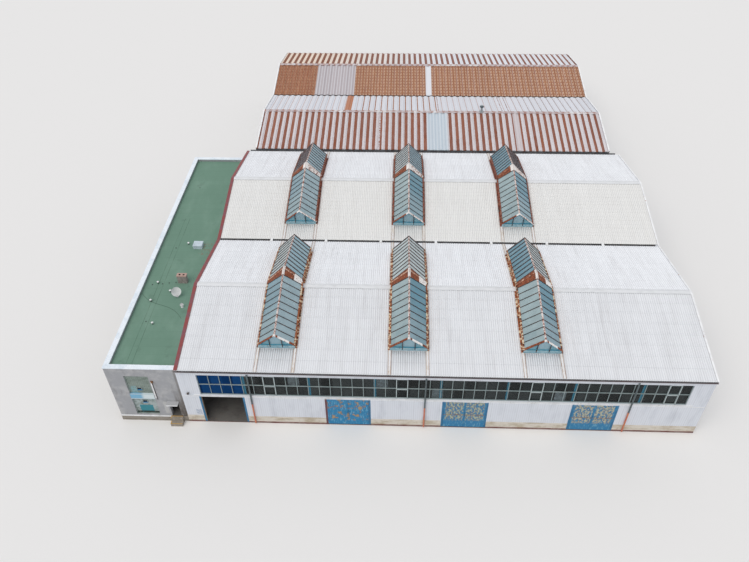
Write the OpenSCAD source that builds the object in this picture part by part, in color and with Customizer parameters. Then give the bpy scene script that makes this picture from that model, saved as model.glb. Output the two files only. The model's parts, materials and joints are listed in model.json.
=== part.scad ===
// Factory building: a workshop of two white naves with a ribbon window and steel doors,
// an older ribbed-roof workshop of two naves behind it, and a flat-roofed annex on the left.
// It is drawn at half size: every length here is half the real one, in millimetres.
// Building frame: x runs along the front from the hall's left end, y goes back from the
// front wall's face, z goes up from the ground. at_origin() then centres the whole on z = 0.

/* [White hall] */
// Length of the hall along its front
hall_l = 24000; // [23000:500:27000]
// Depth of one white nave, from eave to valley
nave_d = 9400; // [8800:100:11000]
// Bays along the hall, with a steel frame between each two
bay_count = 8; // [6:1:10]
// Underside of the roof sheets over the front wall's face
eave_h = 3740; // [3720:10:3900]
// Rise of the white roofs from eave to ridge
roof_rise = 940; // [700:20:1200]
// Thickness of the white roof sheets
roof_t = 50; // [30:5:80]
// Thickness of the hall's outer walls
wall_t = 150; // [110:10:200]
// Thickness of the ground slab
floor_t = 40; // [30:5:60]
// Top of the concrete plinth above the ground
plinth_h = 485; // [300:5:700]
// How far the plinth stands out from the wall
plinth_out = 15; // [5:1:18]

/* [Ribbon windows] */
// Sill of the ribbon windows above the ground
window_sill = 2025; // [2005:5:2100]
// Height of the white band between the ribbon windows and the roof sheets
eave_band_h = 340; // [220:10:700]
// Solid wall left beside a ribbon window
window_inset = 900; // [600:50:1500]
// Width that each pane comes near to
pane_w = 502; // [350:10:900]
// Rows of panes
pane_rows = 2; // [1:1:3]
// Face width of the window bars
bar_w = 24; // [16:2:40]
// Depth of the window bars
bar_t = 40; // [20:2:60]
// Thickness of the glass
glass_t = 12; // [6:1:16]
// Setback of the windows from the wall's face
window_back = 40; // [20:5:60]
// Panes from the left end that are blue sheets
blue_count = 4; // [1:1:10]

/* [Doors] */
// Middle of the open doorway
doorway_x = 1862; // [1300:10:1950]
// Middle of the first closed door
door_1_x = 7725; // [7300:10:7800]
// Middle of the second closed door
door_2_x = 13170; // [13150:10:13800]
// Middle of the third closed door
door_3_x = 19100; // [19090:10:19350]
// Clear width of each doorway, between its posts
door_w = 1950; // [1700:10:1980]
// Underside of the door head above the ground
door_top = 1880; // [1700:5:1890]
// Face width of a door post
post_w = 90; // [50:5:100]
// Depth of a door post
post_t = 105; // [80:5:110]
// Height of the rail over a doorway
head_h = 60; // [40:5:70]
// Thickness of a door leaf
leaf_t = 36; // [24:2:60]
// Gap round a door leaf
leaf_gap = 8; // [7:1:12]
// Gap under a door leaf
leaf_lift = 12; // [8:1:20]
// Width of the frame round a door leaf
leaf_rim = 55; // [40:5:90]
// Sheet thickness of a door leaf
leaf_sheet = 10; // [6:1:14]
// Radius of a hinge barrel
hinge_r = 9; // [6:0.5:10]
// Length of each half of a hinge barrel
hinge_h = 45; // [30:5:80]

/* [Frames and gutters] */
// Width of the steel columns over their flanges
col_w = 120; // [90:5:120]
// Flange thickness of a column
flange_t = 16; // [10:1:24]
// Web thickness of a column
web_t = 12; // [8:1:20]
// Thickness of the plate on a column's head
head_plate_t = 24; // [12:2:40]
// Width of a roof beam
beam_w = 80; // [50:5:90]
// Depth of a roof beam under the ridge
beam_d = 150; // [100:10:220]
// Length of the flat haunch at a beam's ends
haunch_l = 240; // [160:10:300]
// Depth of a beam's underside at its haunches below the eave
beam_drop = 180; // [140:5:240]
// Outer width of a valley gutter
valley_w = 220; // [180:10:260]
// Height of the gutters
gutter_h = 90; // [70:5:110]
// Sheet thickness of the gutters
gutter_t = 8; // [5:1:12]
// Outer width of an eave gutter
gutter_w = 95; // [85:5:110]
// How far the roof sheets reach over the eave gutters
eave_out = 65; // [40:5:70]
// Places of the downpipes along the front
pipe_x = [3250, 11300, 20650];
// Radius of a downpipe
pipe_r = 37; // [28:1:38]
// Height of the lower, cast part of a downpipe
boot_h = 1500; // [800:50:1800]

/* [Roof edges and rooflights] */
// Width of the red flashing along the left roof edge
red_verge_w = 150; // [100:10:200]
// Width of the white flashings along the other roof edges
verge_w = 70; // [50:5:120]
// Thickness of the flashings
flash_t = 15; // [10:1:18]
// Width of a ridge cap on each side of the ridge
cap_w = 150; // [100:10:220]
// Outer width of a rooflight
sky_w = 1700; // [1400:25:2000]
// Run of a rooflight forward of the ridge
sky_front = 3500; // [2800:50:3900]
// Run of a rooflight behind the ridge
sky_rear = 3400; // [2800:50:3900]
// Height of the glazed part of a rooflight
sky_h = 800; // [450:10:950]
// Width of a rooflight's ridge cap on each side of its ridge
sky_cap_w = 40; // [30:5:90]
// Height of a rooflight's kerb
kerb_h = 210; // [90:5:260]
// Thickness of a rooflight's kerb
kerb_t = 60; // [40:5:90]
// Face width of the boards and the bottom rail of a rooflight's gable
gable_bar = 50; // [30:5:70]
// Depth of a rooflight's gable frame
gable_t = 30; // [16:2:36]
// Bays that hold a rooflight
sky_bays = [1, 3, 5];

/* [Rear hall] */
// Offset of the rear hall's left side from the white hall's
rear_x = 535; // [300:5:700]
// Offset of the rear hall's right side from the white hall's
rear_in = 565; // [565:5:1500]
// Depth of one rear nave
rear_nave_d = 7500; // [6500:100:9000]
// Strip between the two halls
rear_gap = 150; // [120:5:200]
// How far the rear roofs' eaves lie over the white ones
rear_step = 130; // [110:5:260]
// Rise of the rear roofs
rear_rise = 705; // [500:5:900]
// Thickness of the rear roof sheets
rear_roof_t = 30; // [20:2:50]
// Height of the ribs on the rear roof sheets
rib_h = 40; // [20:2:60]
// Ribs along a rear roof
rib_count = 54; // [40:1:60]

/* [Annex] */
// Width of the annex
annex_w = 3250; // [3000:50:4500]
// Depth of the annex
annex_d = 17900; // [16500:100:18500]
// How far the annex walls stop below the hall's eave
annex_drop = 5; // [5:5:140]
// Thickness of the annex walls
annex_t = 200; // [160:10:260]
// Height of the annex walls over the flat roof
parapet_h = 135; // [85:5:200]
// Thickness of the annex roof and upper floor
annex_slab_t = 100; // [70:5:130]
// Level of the annex ground floor
annex_floor_z = 390; // [300:5:400]
// Level of the annex upper floor
annex_upper_z = 1775; // [1720:5:1850]
// Top of the annex plinth
annex_plinth_h = 375; // [200:5:380]
// Thickness of the parapet coping
coping_t = 40; // [25:5:60]
// Overhang of the coping
coping_out = 25; // [18:1:40]
// Width of the stair windows
stair_w = 1125; // [800:25:1200]
// Left edge of the stair windows from the annex's left corner
stair_x = 800; // [500:25:900]
// Bottom and top of the lower stair window
stair_low = [450, 1600];
// Bottom and top of the upper stair window
stair_high = [1935, 3220];
// Width and height of the small vent in each stair window
stair_vent = [250, 215];
// Places of the vents from the windows' lower left corners
stair_vents_at = [[450, 820], [395, 255]];
// Width of the side windows
side_w = 1100; // [700:50:1400]
// Height of the side windows
side_h = 900; // [600:25:950]
// Windows along the side, on each storey
side_count = 5; // [3:1:6]
// Sills of the two rows of side windows
side_sills = [680, 2300];
// Distance of the annex doorway from the hall
entry_x = 300; // [200:10:400]
// Width of the annex doorway
entry_w = 450; // [400:10:500]
// Top of the annex doorway
entry_top = 1365; // [1250:5:1400]
// Projection of the entry steps
step_d = 350; // [300:10:420]
// Projection of the entry canopy
canopy_d = 260; // [150:10:290]

/* [Roof fittings] */
// Place of the chimney's middle, from the hall's left front corner
chimney_at = [-1100, 6040];
// Width, depth and height of the chimney
chimney_size = [475, 230, 500];
// Width of a flue
flue_w = 95; // [60:5:110]
// Places of the mushroom vents
vents_at = [[-2375, 5895], [-1565, 5260], [-2365, 4540], [-1830, 2960], [-1575, 9135]];
// Radius of a mushroom vent's hood
vent_r = 58; // [40:2:80]
// Height of a mushroom vent
vent_h = 150; // [100:5:200]
// Places of the low outlets
outlets_at = [[-2645, 5785], [-2140, 5855], [-1810, 5930], [-1470, 5975], [-2205, 3125],
    [-2195, 8795], [-2230, 14665]];
// Radius of an outlet
outlet_r = 26; // [15:1:40]
// Height of an outlet
outlet_h = 30; // [15:5:60]
// Place of the hatch's middle
hatch_at = [-985, 8950];
// Width, depth and height of the hatch
hatch_size = [470, 420, 220];
// Place of the dish's mast
dish_at = [-1130, 4940];
// Radius of the dish
dish_r = 240; // [150:10:300]
// Height of the dish's middle above the roof
dish_h = 330; // [300:10:500]
// Place of the small dish's mast
small_dish_at = [-690, 4170];
// Radius of the small dish
small_dish_r = 90; // [70:5:110]
// Height of the small dish's middle above the roof
small_dish_h = 170; // [150:10:260]
// Place of the ridge cowl along the rear hall
cowl_x = 15465; // [13000:5:17000]

/* [Hidden] */
$fn = 32;

// A working clearance between pieces that touch only at rest, and the overrun of a cut
seat = 0.3;
cut = 1;

bay_l = hall_l / bay_count;
hall_d = 2 * nave_d;
slope_a = atan(roof_rise / (nave_d / 2));
band_z = door_top + head_h;
window_top = eave_h - eave_band_h;
window_h = window_top - window_sill;
beam_z = eave_h - beam_drop;
doors_x = [doorway_x, door_1_x, door_2_x, door_3_x];
leaf_z = floor_t + leaf_lift;
leaf_h = door_top - leaf_gap - leaf_z;
leaf_w = (door_w - 3 * leaf_gap) / 2;

rear_y = hall_d + rear_gap;
rear_end = rear_y + 2 * rear_nave_d;
rear_x2 = hall_l - rear_in;
rear_l = rear_x2 - rear_x;
rear_eave_h = eave_h + rear_step;
rear_a = atan(rear_rise / (rear_nave_d / 2));
join_y = hall_d + rear_gap / 2;
valley_z = eave_h - gutter_h;
// Where the roof sheets stop beside a valley, and where the beams and columns' heads do
sheet_gap = valley_w / 2 - 20;
beam_gap = valley_w / 2 + 5;
head_half = beam_gap + 140;
// Middles of the rows of columns, from the front wall to the back wall
column_rows = [wall_t + col_w / 2, nave_d, join_y, rear_y + rear_nave_d, rear_end - wall_t - col_w / 2];

annex_x = -annex_w;
annex_h = eave_h - annex_drop;
annex_roof_z = annex_h - parapet_h;
x_min = annex_x - max(coping_out, plinth_out);
x_max = hall_l + max(flash_t, plinth_out);
y_min = -max(step_d, canopy_d, gutter_w);
y_max = rear_end + gutter_w;

WHITE = "#d9dce3";
PLASTER = "#a9a7a6";
CONCRETE = "#c2b8a4";
STEEL_BLUE = "#1e7dc0";
FRAME_BLUE = "#3f8ca8";
RUST = "#9a5a3a";
DARK = "#3a2e30";
GLASS = "#7f9aa6";
RED = "#8b4550";
GREEN = "#6b8e78";
PALE_BLUE = "#d6e4f2";
BAR = "#8b9a9c";

// Underside of the white and the rear roof at a distance in from an eave
function under(d) = eave_h + d * roof_rise / (nave_d / 2);
function rear_under(d) = rear_eave_h + d * rear_rise / (rear_nave_d / 2);
// Sign of each roof slope: forward of the ridge, then behind it
SIDES = [-1, 1];
function sky_run(side) = side < 0 ? sky_front : sky_rear;
function sky_mid(bay) = (bay + 0.5) * bay_l;

// Every ribbon window: x and y of its outer corner, its turn and its length
ribbons = concat(
    [[window_inset, 0, 0, hall_l - 2 * window_inset]],
    [for (k = [0, 1]) [hall_l, k * nave_d + window_inset, 90, nave_d - 2 * window_inset]],
    [for (k = [0, 1]) [rear_x2, rear_y + k * rear_nave_d + window_inset, 90,
        rear_nave_d - 2 * window_inset]],
    [for (k = [0, 1]) [rear_x, rear_y + (k + 1) * rear_nave_d - window_inset, -90,
        rear_nave_d - 2 * window_inset]],
    [[rear_x2 - window_inset, rear_end, 180, rear_l - 2 * window_inset]]);
front_pane_w = ribbons[0][3] / round(ribbons[0][3] / pane_w);

module at_origin() {
    translate([-(x_min + x_max) / 2, -(y_min + y_max) / 2, 0]) children();
}

// A profile of depth and height, drawn out along x
module along_x(x0, l) {
    translate([x0, 0, 0]) rotate([90, 0, 90]) linear_extrude(l) children();
}

// The frame of a roof slope: y runs down it from the ridge and z stands square to it
module on_slope(ridge_y, ridge_z, angle, side) {
    translate([0, ridge_y, ridge_z]) mirror([0, side < 0 ? 1 : 0, 0]) rotate([-angle, 0, 0]) children();
}

// A profile of width and height, drawn out down a slope
module down_slope(start, l) {
    translate([0, start + l, 0]) rotate([90, 0, 0]) linear_extrude(l) children();
}

// Cuts a profile of depth and height into lengths that meet at the stops
module in_lengths(stops) {
    for (i = [0 : len(stops) - 2]) intersection() {
        children();
        translate([stops[i] + seat / 2, 0]) square([stops[i + 1] - stops[i] - seat, 2 * eave_h]);
    }
}
white_valley = [y_min - cut, nave_d, y_max + cut];
rear_valley = [y_min - cut, rear_y + rear_nave_d, y_max + cut];
// Every ridge and valley line, from the front to the back
roof_lines = [y_min - cut, nave_d / 2, nave_d, 1.5 * nave_d, join_y, rear_y + rear_nave_d / 2,
    rear_y + rear_nave_d, rear_y + 1.5 * rear_nave_d, y_max + cut];

module at_ribbon(r) {
    translate([r[0], r[1], window_sill]) rotate([0, 0, r[2]]) children();
}

module ribbon_cuts() {
    for (r = ribbons) at_ribbon(r) translate([0, -plinth_out - cut, 0])
        cube([r[3], wall_t + plinth_out + 2 * cut, window_h]);
}

// One ribbon window's bars, with a pane in each hole
module ribbon_bars(l) {
    columns = round(l / pane_w);
    hole_w = (l - bar_w) / columns - bar_w;
    hole_h = (window_h - bar_w) / pane_rows - bar_w;
    translate([0, window_back + bar_t, 0]) rotate([90, 0, 0]) linear_extrude(bar_t) difference() {
        square([l, window_h]);
        for (i = [0 : columns - 1], j = [0 : pane_rows - 1])
            translate([bar_w + i * (hole_w + bar_w), bar_w + j * (hole_h + bar_w)]) square([hole_w, hole_h]);
    }
}

module hall_floor() at_origin() color(CONCRETE) {
    union() {
        translate([0, -plinth_out, 0]) cube([hall_l + plinth_out, hall_d + plinth_out, floor_t]);
        translate([rear_x - plinth_out, hall_d, 0])
            cube([rear_l + 2 * plinth_out, rear_end + plinth_out - hall_d, floor_t]);
    }
}

// What stands beside the doorways, from one level to another
module between_doors(z0, z1, y0, y1) {
    edges = concat([0], [for (x = doors_x, s = SIDES) x + s * (door_w / 2 + post_w)], [hall_l]);
    for (i = [0 : 2 : len(edges) - 2])
        translate([edges[i], y0, z0]) cube([edges[i + 1] - edges[i], y1 - y0, z1 - z0]);
}

module front_plinth() at_origin() color(CONCRETE) between_doors(floor_t, plinth_h, -plinth_out, wall_t);

module front_wall() at_origin() color(WHITE) {
    between_doors(plinth_h, band_z, 0, wall_t);
    for (x = [0, hall_l - window_inset])
        translate([x, 0, window_sill]) cube([window_inset, wall_t, window_h]);
}

// The band over the doors, with the drip moulding on its face
module sill_band() at_origin() color(WHITE) along_x(0, hall_l) {
    drip_z = window_sill - 50;
    polygon([[0, band_z], [wall_t, band_z], [wall_t, window_sill], [0, window_sill],
        [0, drip_z + 12], [-plinth_out, drip_z + 6], [-plinth_out, drip_z - 8], [0, drip_z - 8]]);
}

module eave_band() at_origin() color(WHITE) along_x(0, hall_l) {
    polygon([[0, window_top], [wall_t, window_top], [wall_t, under(wall_t)], [0, eave_h]]);
}

module window_frames() at_origin() color(BAR) for (r = ribbons) at_ribbon(r) ribbon_bars(r[3]);

module hall_glass() at_origin() color(GLASS) for (r = ribbons) {
    start = r[2] == 0 ? blue_count * front_pane_w : 0;
    at_ribbon(r) translate([start, window_back + bar_t, 0]) cube([r[3] - start, glass_t, window_h]);
}

module blue_panes() at_origin() color("#0e3f7e") {
    at_ribbon(ribbons[0]) translate([0, window_back + bar_t, 0])
        cube([blue_count * front_pane_w, glass_t, window_h]);
}

// The white hall's gable walls, then the rear hall's, each up to the roof's underside, in one
// length for each nave
module side_walls() at_origin() color(WHITE) difference() {
    union() {
        for (x = [0, hall_l - wall_t]) along_x(x, wall_t) in_lengths(white_valley)
            polygon([[wall_t, floor_t], [wall_t, under(wall_t)], [nave_d / 2, eave_h + roof_rise],
                [nave_d, eave_h], [1.5 * nave_d, eave_h + roof_rise], [hall_d, eave_h],
                [hall_d, floor_t]]);
        along_x(hall_l, plinth_out) in_lengths(white_valley) translate([wall_t, floor_t])
            square([hall_d - wall_t, plinth_h - floor_t]);
        for (x = [rear_x, rear_x2 - wall_t]) along_x(x, wall_t) in_lengths(rear_valley)
            polygon([[hall_d, floor_t], [hall_d, valley_z], [join_y + beam_gap, valley_z],
                [join_y + beam_gap, rear_under(join_y + beam_gap - rear_y)],
                [rear_y + rear_nave_d / 2, rear_eave_h + rear_rise],
                [rear_y + rear_nave_d, rear_eave_h],
                [rear_y + 1.5 * rear_nave_d, rear_eave_h + rear_rise],
                [rear_end - wall_t, rear_under(wall_t)], [rear_end - wall_t, floor_t]]);
        for (x = [rear_x - plinth_out, rear_x2]) along_x(x, plinth_out) in_lengths(rear_valley)
            translate([hall_d, floor_t]) square([rear_end - wall_t - hall_d, plinth_h - floor_t]);
    }
    ribbon_cuts();
}

// The rear hall's back wall, and the short returns where the white hall is wider
module back_wall() at_origin() color(WHITE) {
    difference() {
        union() {
            along_x(rear_x, rear_l) polygon([[rear_end, floor_t], [rear_end, rear_eave_h],
                [rear_end - wall_t, rear_under(wall_t)], [rear_end - wall_t, floor_t]]);
            translate([rear_x, rear_end, floor_t]) cube([rear_l, plinth_out, plinth_h - floor_t]);
        }
        ribbon_cuts();
    }
    for (span = [[wall_t, rear_x + wall_t], [rear_x2 - wall_t, hall_l - wall_t]])
        translate([span[0], hall_d - wall_t, floor_t])
            cube([span[1] - span[0], wall_t, valley_z - floor_t]);
}

// The shafts of the rolled steel columns
module columns() at_origin() color(FRAME_BLUE) for (i = [1 : bay_count - 1], y = column_rows)
    translate([i * bay_l, y, floor_t]) linear_extrude(beam_z - head_plate_t - floor_t) {
        for (s = SIDES) translate([-col_w / 2, s < 0 ? -col_w / 2 : col_w / 2 - flange_t])
            square([col_w, flange_t]);
        translate([-web_t / 2, -col_w / 2]) square([web_t, col_w]);
    }

// The plate that carries the beams over a column, with a block under a valley gutter
module head_plate(y, before, after, block) translate([0, y, beam_z]) {
    translate([-col_w / 2, -before, -head_plate_t]) cube([col_w, before + after, head_plate_t]);
    if (block) translate([-beam_w / 2, -col_w / 2, -cut]) cube([beam_w, col_w, valley_z - beam_z + cut]);
}

module column_heads() at_origin() color(FRAME_BLUE) for (i = [1 : bay_count - 1])
    translate([i * bay_l, 0, 0]) {
        last = len(column_rows) - 1;
        head_plate(column_rows[0], col_w / 2, haunch_l, false);
        for (k = [1 : last - 1]) head_plate(column_rows[k], head_half, head_half, true);
        head_plate(column_rows[last], haunch_l, col_w / 2, false);
    }

// A roof beam over one nave, in two halves that are bolted together under the ridge: its top lies
// against the sheets, its haunches on the columns
module beam(y0, y1, mid, ridge_z, z0, z1) in_lengths([y_min - cut, mid, y_max + cut]) {
    polygon([[y0, z0], [mid, ridge_z], [y1, z1], [y1, beam_z], [y1 - haunch_l, beam_z],
        [mid, ridge_z - beam_d], [y0 + haunch_l, beam_z], [y0, beam_z]]);
}

module roof_beams() at_origin() color(FRAME_BLUE) for (i = [1 : bay_count - 1])
    along_x(i * bay_l - beam_w / 2, beam_w) {
        ridge_z = eave_h + roof_rise;
        rear_ridge_z = rear_eave_h + rear_rise;
        rear_mid = rear_y + rear_nave_d;
        join_in = join_y + beam_gap - rear_y;
        beam(wall_t, nave_d - beam_gap, nave_d / 2, ridge_z, under(wall_t), under(beam_gap));
        beam(nave_d + beam_gap, join_y - beam_gap, 1.5 * nave_d, ridge_z, under(beam_gap),
            under(hall_d - join_y + beam_gap));
        beam(join_y + beam_gap, rear_mid - beam_gap, rear_mid - rear_nave_d / 2, rear_ridge_z,
            rear_under(join_in), rear_under(beam_gap));
        beam(rear_mid + beam_gap, rear_end - wall_t, rear_mid + rear_nave_d / 2, rear_ridge_z,
            rear_under(beam_gap), rear_under(wall_t));
    }

// How far a slope's sheets run out from the ridge: over an eave or short of a valley
function sheet_run(half, at_eave) = half + (at_eave ? eave_out : -sheet_gap);
ridge_gap = 10;

// Four slopes: on each a field of sheets along the whole eave, and fields between the rooflights
module white_roof() at_origin() color(WHITE) for (k = [0, 1], side = SIDES) {
    l = sheet_run(nave_d / 2, k == 0 && side < 0) / cos(slope_a);
    low = sky_run(side) / cos(slope_a) - kerb_t;
    edges = concat([seat],
        [for (bay = sky_bays, s = SIDES) sky_mid(bay) + s * (sky_w / 2 - kerb_t)], [hall_l - seat]);
    on_slope((k + 0.5) * nave_d, eave_h + roof_rise, slope_a, side) {
        translate([seat, low, 0]) cube([hall_l - 2 * seat, l - low, roof_t]);
        for (i = [0 : 2 : len(edges) - 2]) translate([edges[i], ridge_gap, 0])
            cube([edges[i + 1] - edges[i], low - ridge_gap - seat, roof_t]);
    }
}

// The ribbed sheet of the rear roofs, drawn across its ribs
module ribbed_sheet(l) {
    pitch = l / rib_count;
    foot = 0.27 * pitch;
    crown = 0.2 * pitch;
    polygon(concat([[0, 0], [l, 0], [l, rear_roof_t]],
        [for (i = [rib_count - 1 : -1 : 0], p = [[foot, 0], [crown, rib_h], [-crown, rib_h], [-foot, 0]])
            [(i + 0.5) * pitch + p[0], rear_roof_t + p[1]]],
        [[0, rear_roof_t]]));
}

module rear_roof() at_origin() color(RUST) for (k = [0, 1], side = SIDES) {
    at_join = k == 0 && side < 0;
    at_eave = k == 1 && side > 0;
    run = at_join ? rear_nave_d / 2 + rear_y - join_y - 40 : sheet_run(rear_nave_d / 2, at_eave);
    on_slope(rear_y + (k + 0.5) * rear_nave_d, rear_eave_h + rear_rise, rear_a, side)
        translate([rear_x + seat, 0, 0]) down_slope(ridge_gap, run / cos(rear_a) - ridge_gap)
            ribbed_sheet(rear_l - 2 * seat);
}

// A cap of even height over a ridge whose sheets' tops meet at sheet_z
module cap(ridge_y, sheet_z, angle) {
    drop = cap_w * tan(angle);
    crest_z = sheet_z + seat;
    polygon([[ridge_y - cap_w, crest_z - drop], [ridge_y, crest_z], [ridge_y + cap_w, crest_z - drop],
        [ridge_y + cap_w, crest_z - drop + flash_t], [ridge_y, crest_z + flash_t],
        [ridge_y - cap_w, crest_z - drop + flash_t]]);
}

module ridge_caps() at_origin() color(WHITE) {
    stops = concat([red_verge_w],
        [for (bay = sky_bays, s = SIDES) sky_mid(bay) + s * (sky_w / 2 + seat)], [hall_l - verge_w]);
    for (k = [0, 1], i = [0 : 2 : len(stops) - 2]) along_x(stops[i], stops[i + 1] - stops[i])
        cap((k + 0.5) * nave_d, eave_h + roof_rise + roof_t / cos(slope_a), slope_a);
    for (k = [0, 1]) along_x(rear_x + verge_w, rear_l - 2 * verge_w)
        cap(rear_y + (k + 0.5) * rear_nave_d,
            rear_eave_h + rear_rise + (rear_roof_t + rib_h) / cos(rear_a), rear_a);
}

module trough(w) {
    difference() {
        square([w, gutter_h]);
        translate([gutter_t, gutter_t]) square([w - 2 * gutter_t, gutter_h]);
    }
}

module eave_gutters() at_origin() color(DARK) {
    along_x(0, hall_l) translate([-gutter_w, under(-gutter_w) - 5 - gutter_h]) trough(gutter_w);
    along_x(rear_x, rear_l) translate([rear_end, rear_under(-gutter_w) - 5 - gutter_h])
        trough(gutter_w);
}

// Gutters between the naves; the one between the halls has a fascia up to the rear roof
module valley_gutters() at_origin() color(DARK) {
    along_x(wall_t, hall_l - 2 * wall_t) translate([nave_d - valley_w / 2, valley_z])
        trough(valley_w);
    along_x(wall_t, hall_l - 2 * wall_t) translate([join_y - valley_w / 2, valley_z])
        trough(valley_w);
    along_x(rear_x, rear_l) translate([join_y + valley_w / 2 - gutter_t, valley_z + gutter_t])
        square([gutter_t, rear_under(join_y + valley_w / 2 - gutter_t - rear_y) - valley_z - gutter_t]);
    along_x(rear_x + wall_t, rear_l - 2 * wall_t)
        translate([rear_y + rear_nave_d - valley_w / 2, valley_z]) trough(valley_w);
}

module downpipes() at_origin() color(DARK) for (x = pipe_x) translate([x, -plinth_out - 5 - pipe_r, 0]) {
    top_z = under(-gutter_w) - 5 - gutter_h;
    foot_z = floor_t + 20;
    collar_h = 60;
    strap_off = 300;
    translate([0, 0, foot_z]) cylinder(r = pipe_r, h = top_z - foot_z);
    translate([0, 0, boot_h - collar_h]) cylinder(r = pipe_r + 4, h = collar_h);
    for (z = [boot_h - strap_off, boot_h + strap_off, top_z - 2.5 * strap_off])
        translate([-12, 0, z]) cube([24, plinth_out + 5 + pipe_r, 20]);
}

// The roofs' lines in depth and height, raised by some height over the sheets' underside
function white_line(up) = [[-eave_out, under(-eave_out) + up], [nave_d / 2, eave_h + roof_rise + up],
    [nave_d, eave_h + up], [1.5 * nave_d, eave_h + roof_rise + up],
    [hall_d - sheet_gap, under(sheet_gap) + up]];
function rear_line(up) = [[join_y + 40, rear_under(join_y + 40 - rear_y) + up],
    [rear_y + rear_nave_d / 2, rear_eave_h + rear_rise + up], [rear_y + rear_nave_d, rear_eave_h + up],
    [rear_y + 1.5 * rear_nave_d, rear_eave_h + rear_rise + up],
    [rear_end + eave_out, rear_under(-eave_out) + up]];
function reversed(list) = [for (i = [len(list) - 1 : -1 : 0]) list[i]];
// Where the flashings and caps lie on the sheets
white_top = roof_t / cos(slope_a) + seat;
rear_top = (rear_roof_t + rib_h) / cos(rear_a) + seat;

// A flashing from x0 over a roof edge, in one length for each slope: a flat part on the sheets and
// a skirt down the outside
module verge(x0, w, skirt_x, low_line, top_line, over_line) {
    along_x(x0, w) in_lengths(roof_lines) polygon(concat(top_line, reversed(over_line)));
    along_x(skirt_x, flash_t) in_lengths(roof_lines) polygon(concat(low_line, reversed(over_line)));
}

module left_verge() at_origin() color(RED) {
    verge(-flash_t, red_verge_w + flash_t, -flash_t, white_line(0), white_line(white_top),
        white_line(white_top + flash_t));
}

module white_verges() at_origin() color(WHITE) {
    drop = 120;
    verge(hall_l - verge_w, verge_w + flash_t, hall_l, white_line(-drop),
        white_line(white_top), white_line(white_top + flash_t));
    for (left = [true, false])
        verge(left ? rear_x - flash_t : rear_x2 - verge_w, verge_w + flash_t,
            left ? rear_x - flash_t : rear_x2, rear_line(-drop), rear_line(rear_top),
            rear_line(rear_top + flash_t));
}

// Both halves of a rooflight piece on one white nave, mitred where they meet over the ridge
module over_ridge(k) {
    for (side = SIDES) intersection() {
        on_slope((k + 0.5) * nave_d, eave_h + roof_rise, slope_a, side) {
            $run = sky_run(side) / cos(slope_a);
            children();
        }
        translate([0, k * nave_d + (side < 0 ? 0 : (nave_d + seat) / 2), 0])
            cube([hall_l, (nave_d - seat) / 2, 2 * eave_h]);
    }
}

sky_z = roof_t + kerb_h;
sky_back = sky_z + sky_h;
sky_slope = atan(sky_h / (sky_w / 2));

// Two long boards and an end board under each half of a rooflight
module skylight_kerbs() at_origin() color(RUST) for (k = [0, 1], bay = sky_bays) over_ridge(k)
    translate([sky_mid(bay), 0, roof_t]) {
        for (x = [-sky_w / 2, sky_w / 2 - kerb_t]) translate([x, -sky_back, 0])
            cube([kerb_t, sky_back + $run, kerb_h]);
        translate([kerb_t + seat - sky_w / 2, $run - kerb_t, 0])
            cube([sky_w - 2 * (kerb_t + seat), kerb_t, kerb_h]);
    }

// The triangle of a rooflight's gable, drawn in by some length on every side
module gable(inset) {
    top = sky_h - inset / cos(sky_slope);
    half = (top - inset) / tan(sky_slope);
    polygon([[-half, inset], [0, top], [half, inset]]);
}

// The gable frame of each half: two sloping boards, a bottom rail and two mullions
module skylight_gables() at_origin() color(FRAME_BLUE) for (k = [0, 1], bay = sky_bays) over_ridge(k)
    translate([sky_mid(bay), 0, sky_z]) down_slope($run - gable_t, gable_t) difference() {
        gable(seat);
        difference() {
            gable(gable_bar);
            for (s = SIDES) translate([s * sky_w / 6 - bar_w / 2, 0]) square([bar_w, sky_h]);
        }
    }

// Two leaning sheets of glass and a gable pane on each half of a rooflight
module skylight_glazing() at_origin() color(GLASS) for (k = [0, 1], bay = sky_bays) over_ridge(k)
    translate([sky_mid(bay), 0, sky_z]) {
        foot = glass_t / sin(sky_slope);
        peak = glass_t / cos(sky_slope);
        top = sky_h - seat / 2 * tan(sky_slope);
        pane_run = $run - gable_t - seat - glass_t;
        for (s = SIDES) down_slope(-sky_back, sky_back + pane_run - seat)
            polygon([[s * seat / 2, top], [s * sky_w / 2, 0], [s * (sky_w / 2 - foot), 0],
                [s * seat / 2, top - peak]]);
        down_slope(pane_run, glass_t) gable(0);
    }

module skylight_ridges() at_origin() color(WHITE) for (k = [0, 1], bay = sky_bays) over_ridge(k)
    translate([sky_mid(bay), 0, sky_z + seat]) {
        fall = sky_cap_w * tan(sky_slope);
        down_slope(-sky_back, sky_back + $run) polygon([[-sky_cap_w, sky_h - fall], [0, sky_h],
            [sky_cap_w, sky_h - fall], [sky_cap_w, sky_h - fall + flash_t], [0, sky_h + flash_t],
            [-sky_cap_w, sky_h - fall + flash_t]]);
    }

// Doors: the rim stands out of each leaf's face, and the hinge axis lies clear in front of it
rim_out = 4;
strap_t = 8;
strap_l = 120;
axis_y = -(hinge_r + rim_out + 2);
hinge_levels = [floor_t + 230, (floor_t + door_top) / 2, door_top - 230];

// The left hinge axis of a doorway; its right one mirrors it
axis_x = -door_w / 2 + leaf_gap / 2;

module door_posts() at_origin() color(FRAME_BLUE) for (i = [0 : 3], s = SIDES)
    translate([doors_x[i], 0, 0]) mirror([s > 0 ? 1 : 0, 0, 0]) {
        translate([-door_w / 2 - post_w, 0, floor_t]) cube([post_w, post_t, band_z - floor_t]);
        if (i > 0) for (z = hinge_levels) {
            translate([axis_x, axis_y, z - hinge_h]) cylinder(r = hinge_r, h = hinge_h);
            translate([-door_w / 2 - post_w / 2, -strap_t, z - hinge_h])
                cube([axis_x + door_w / 2 + post_w / 2, strap_t, hinge_h]);
        }
    }

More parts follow.
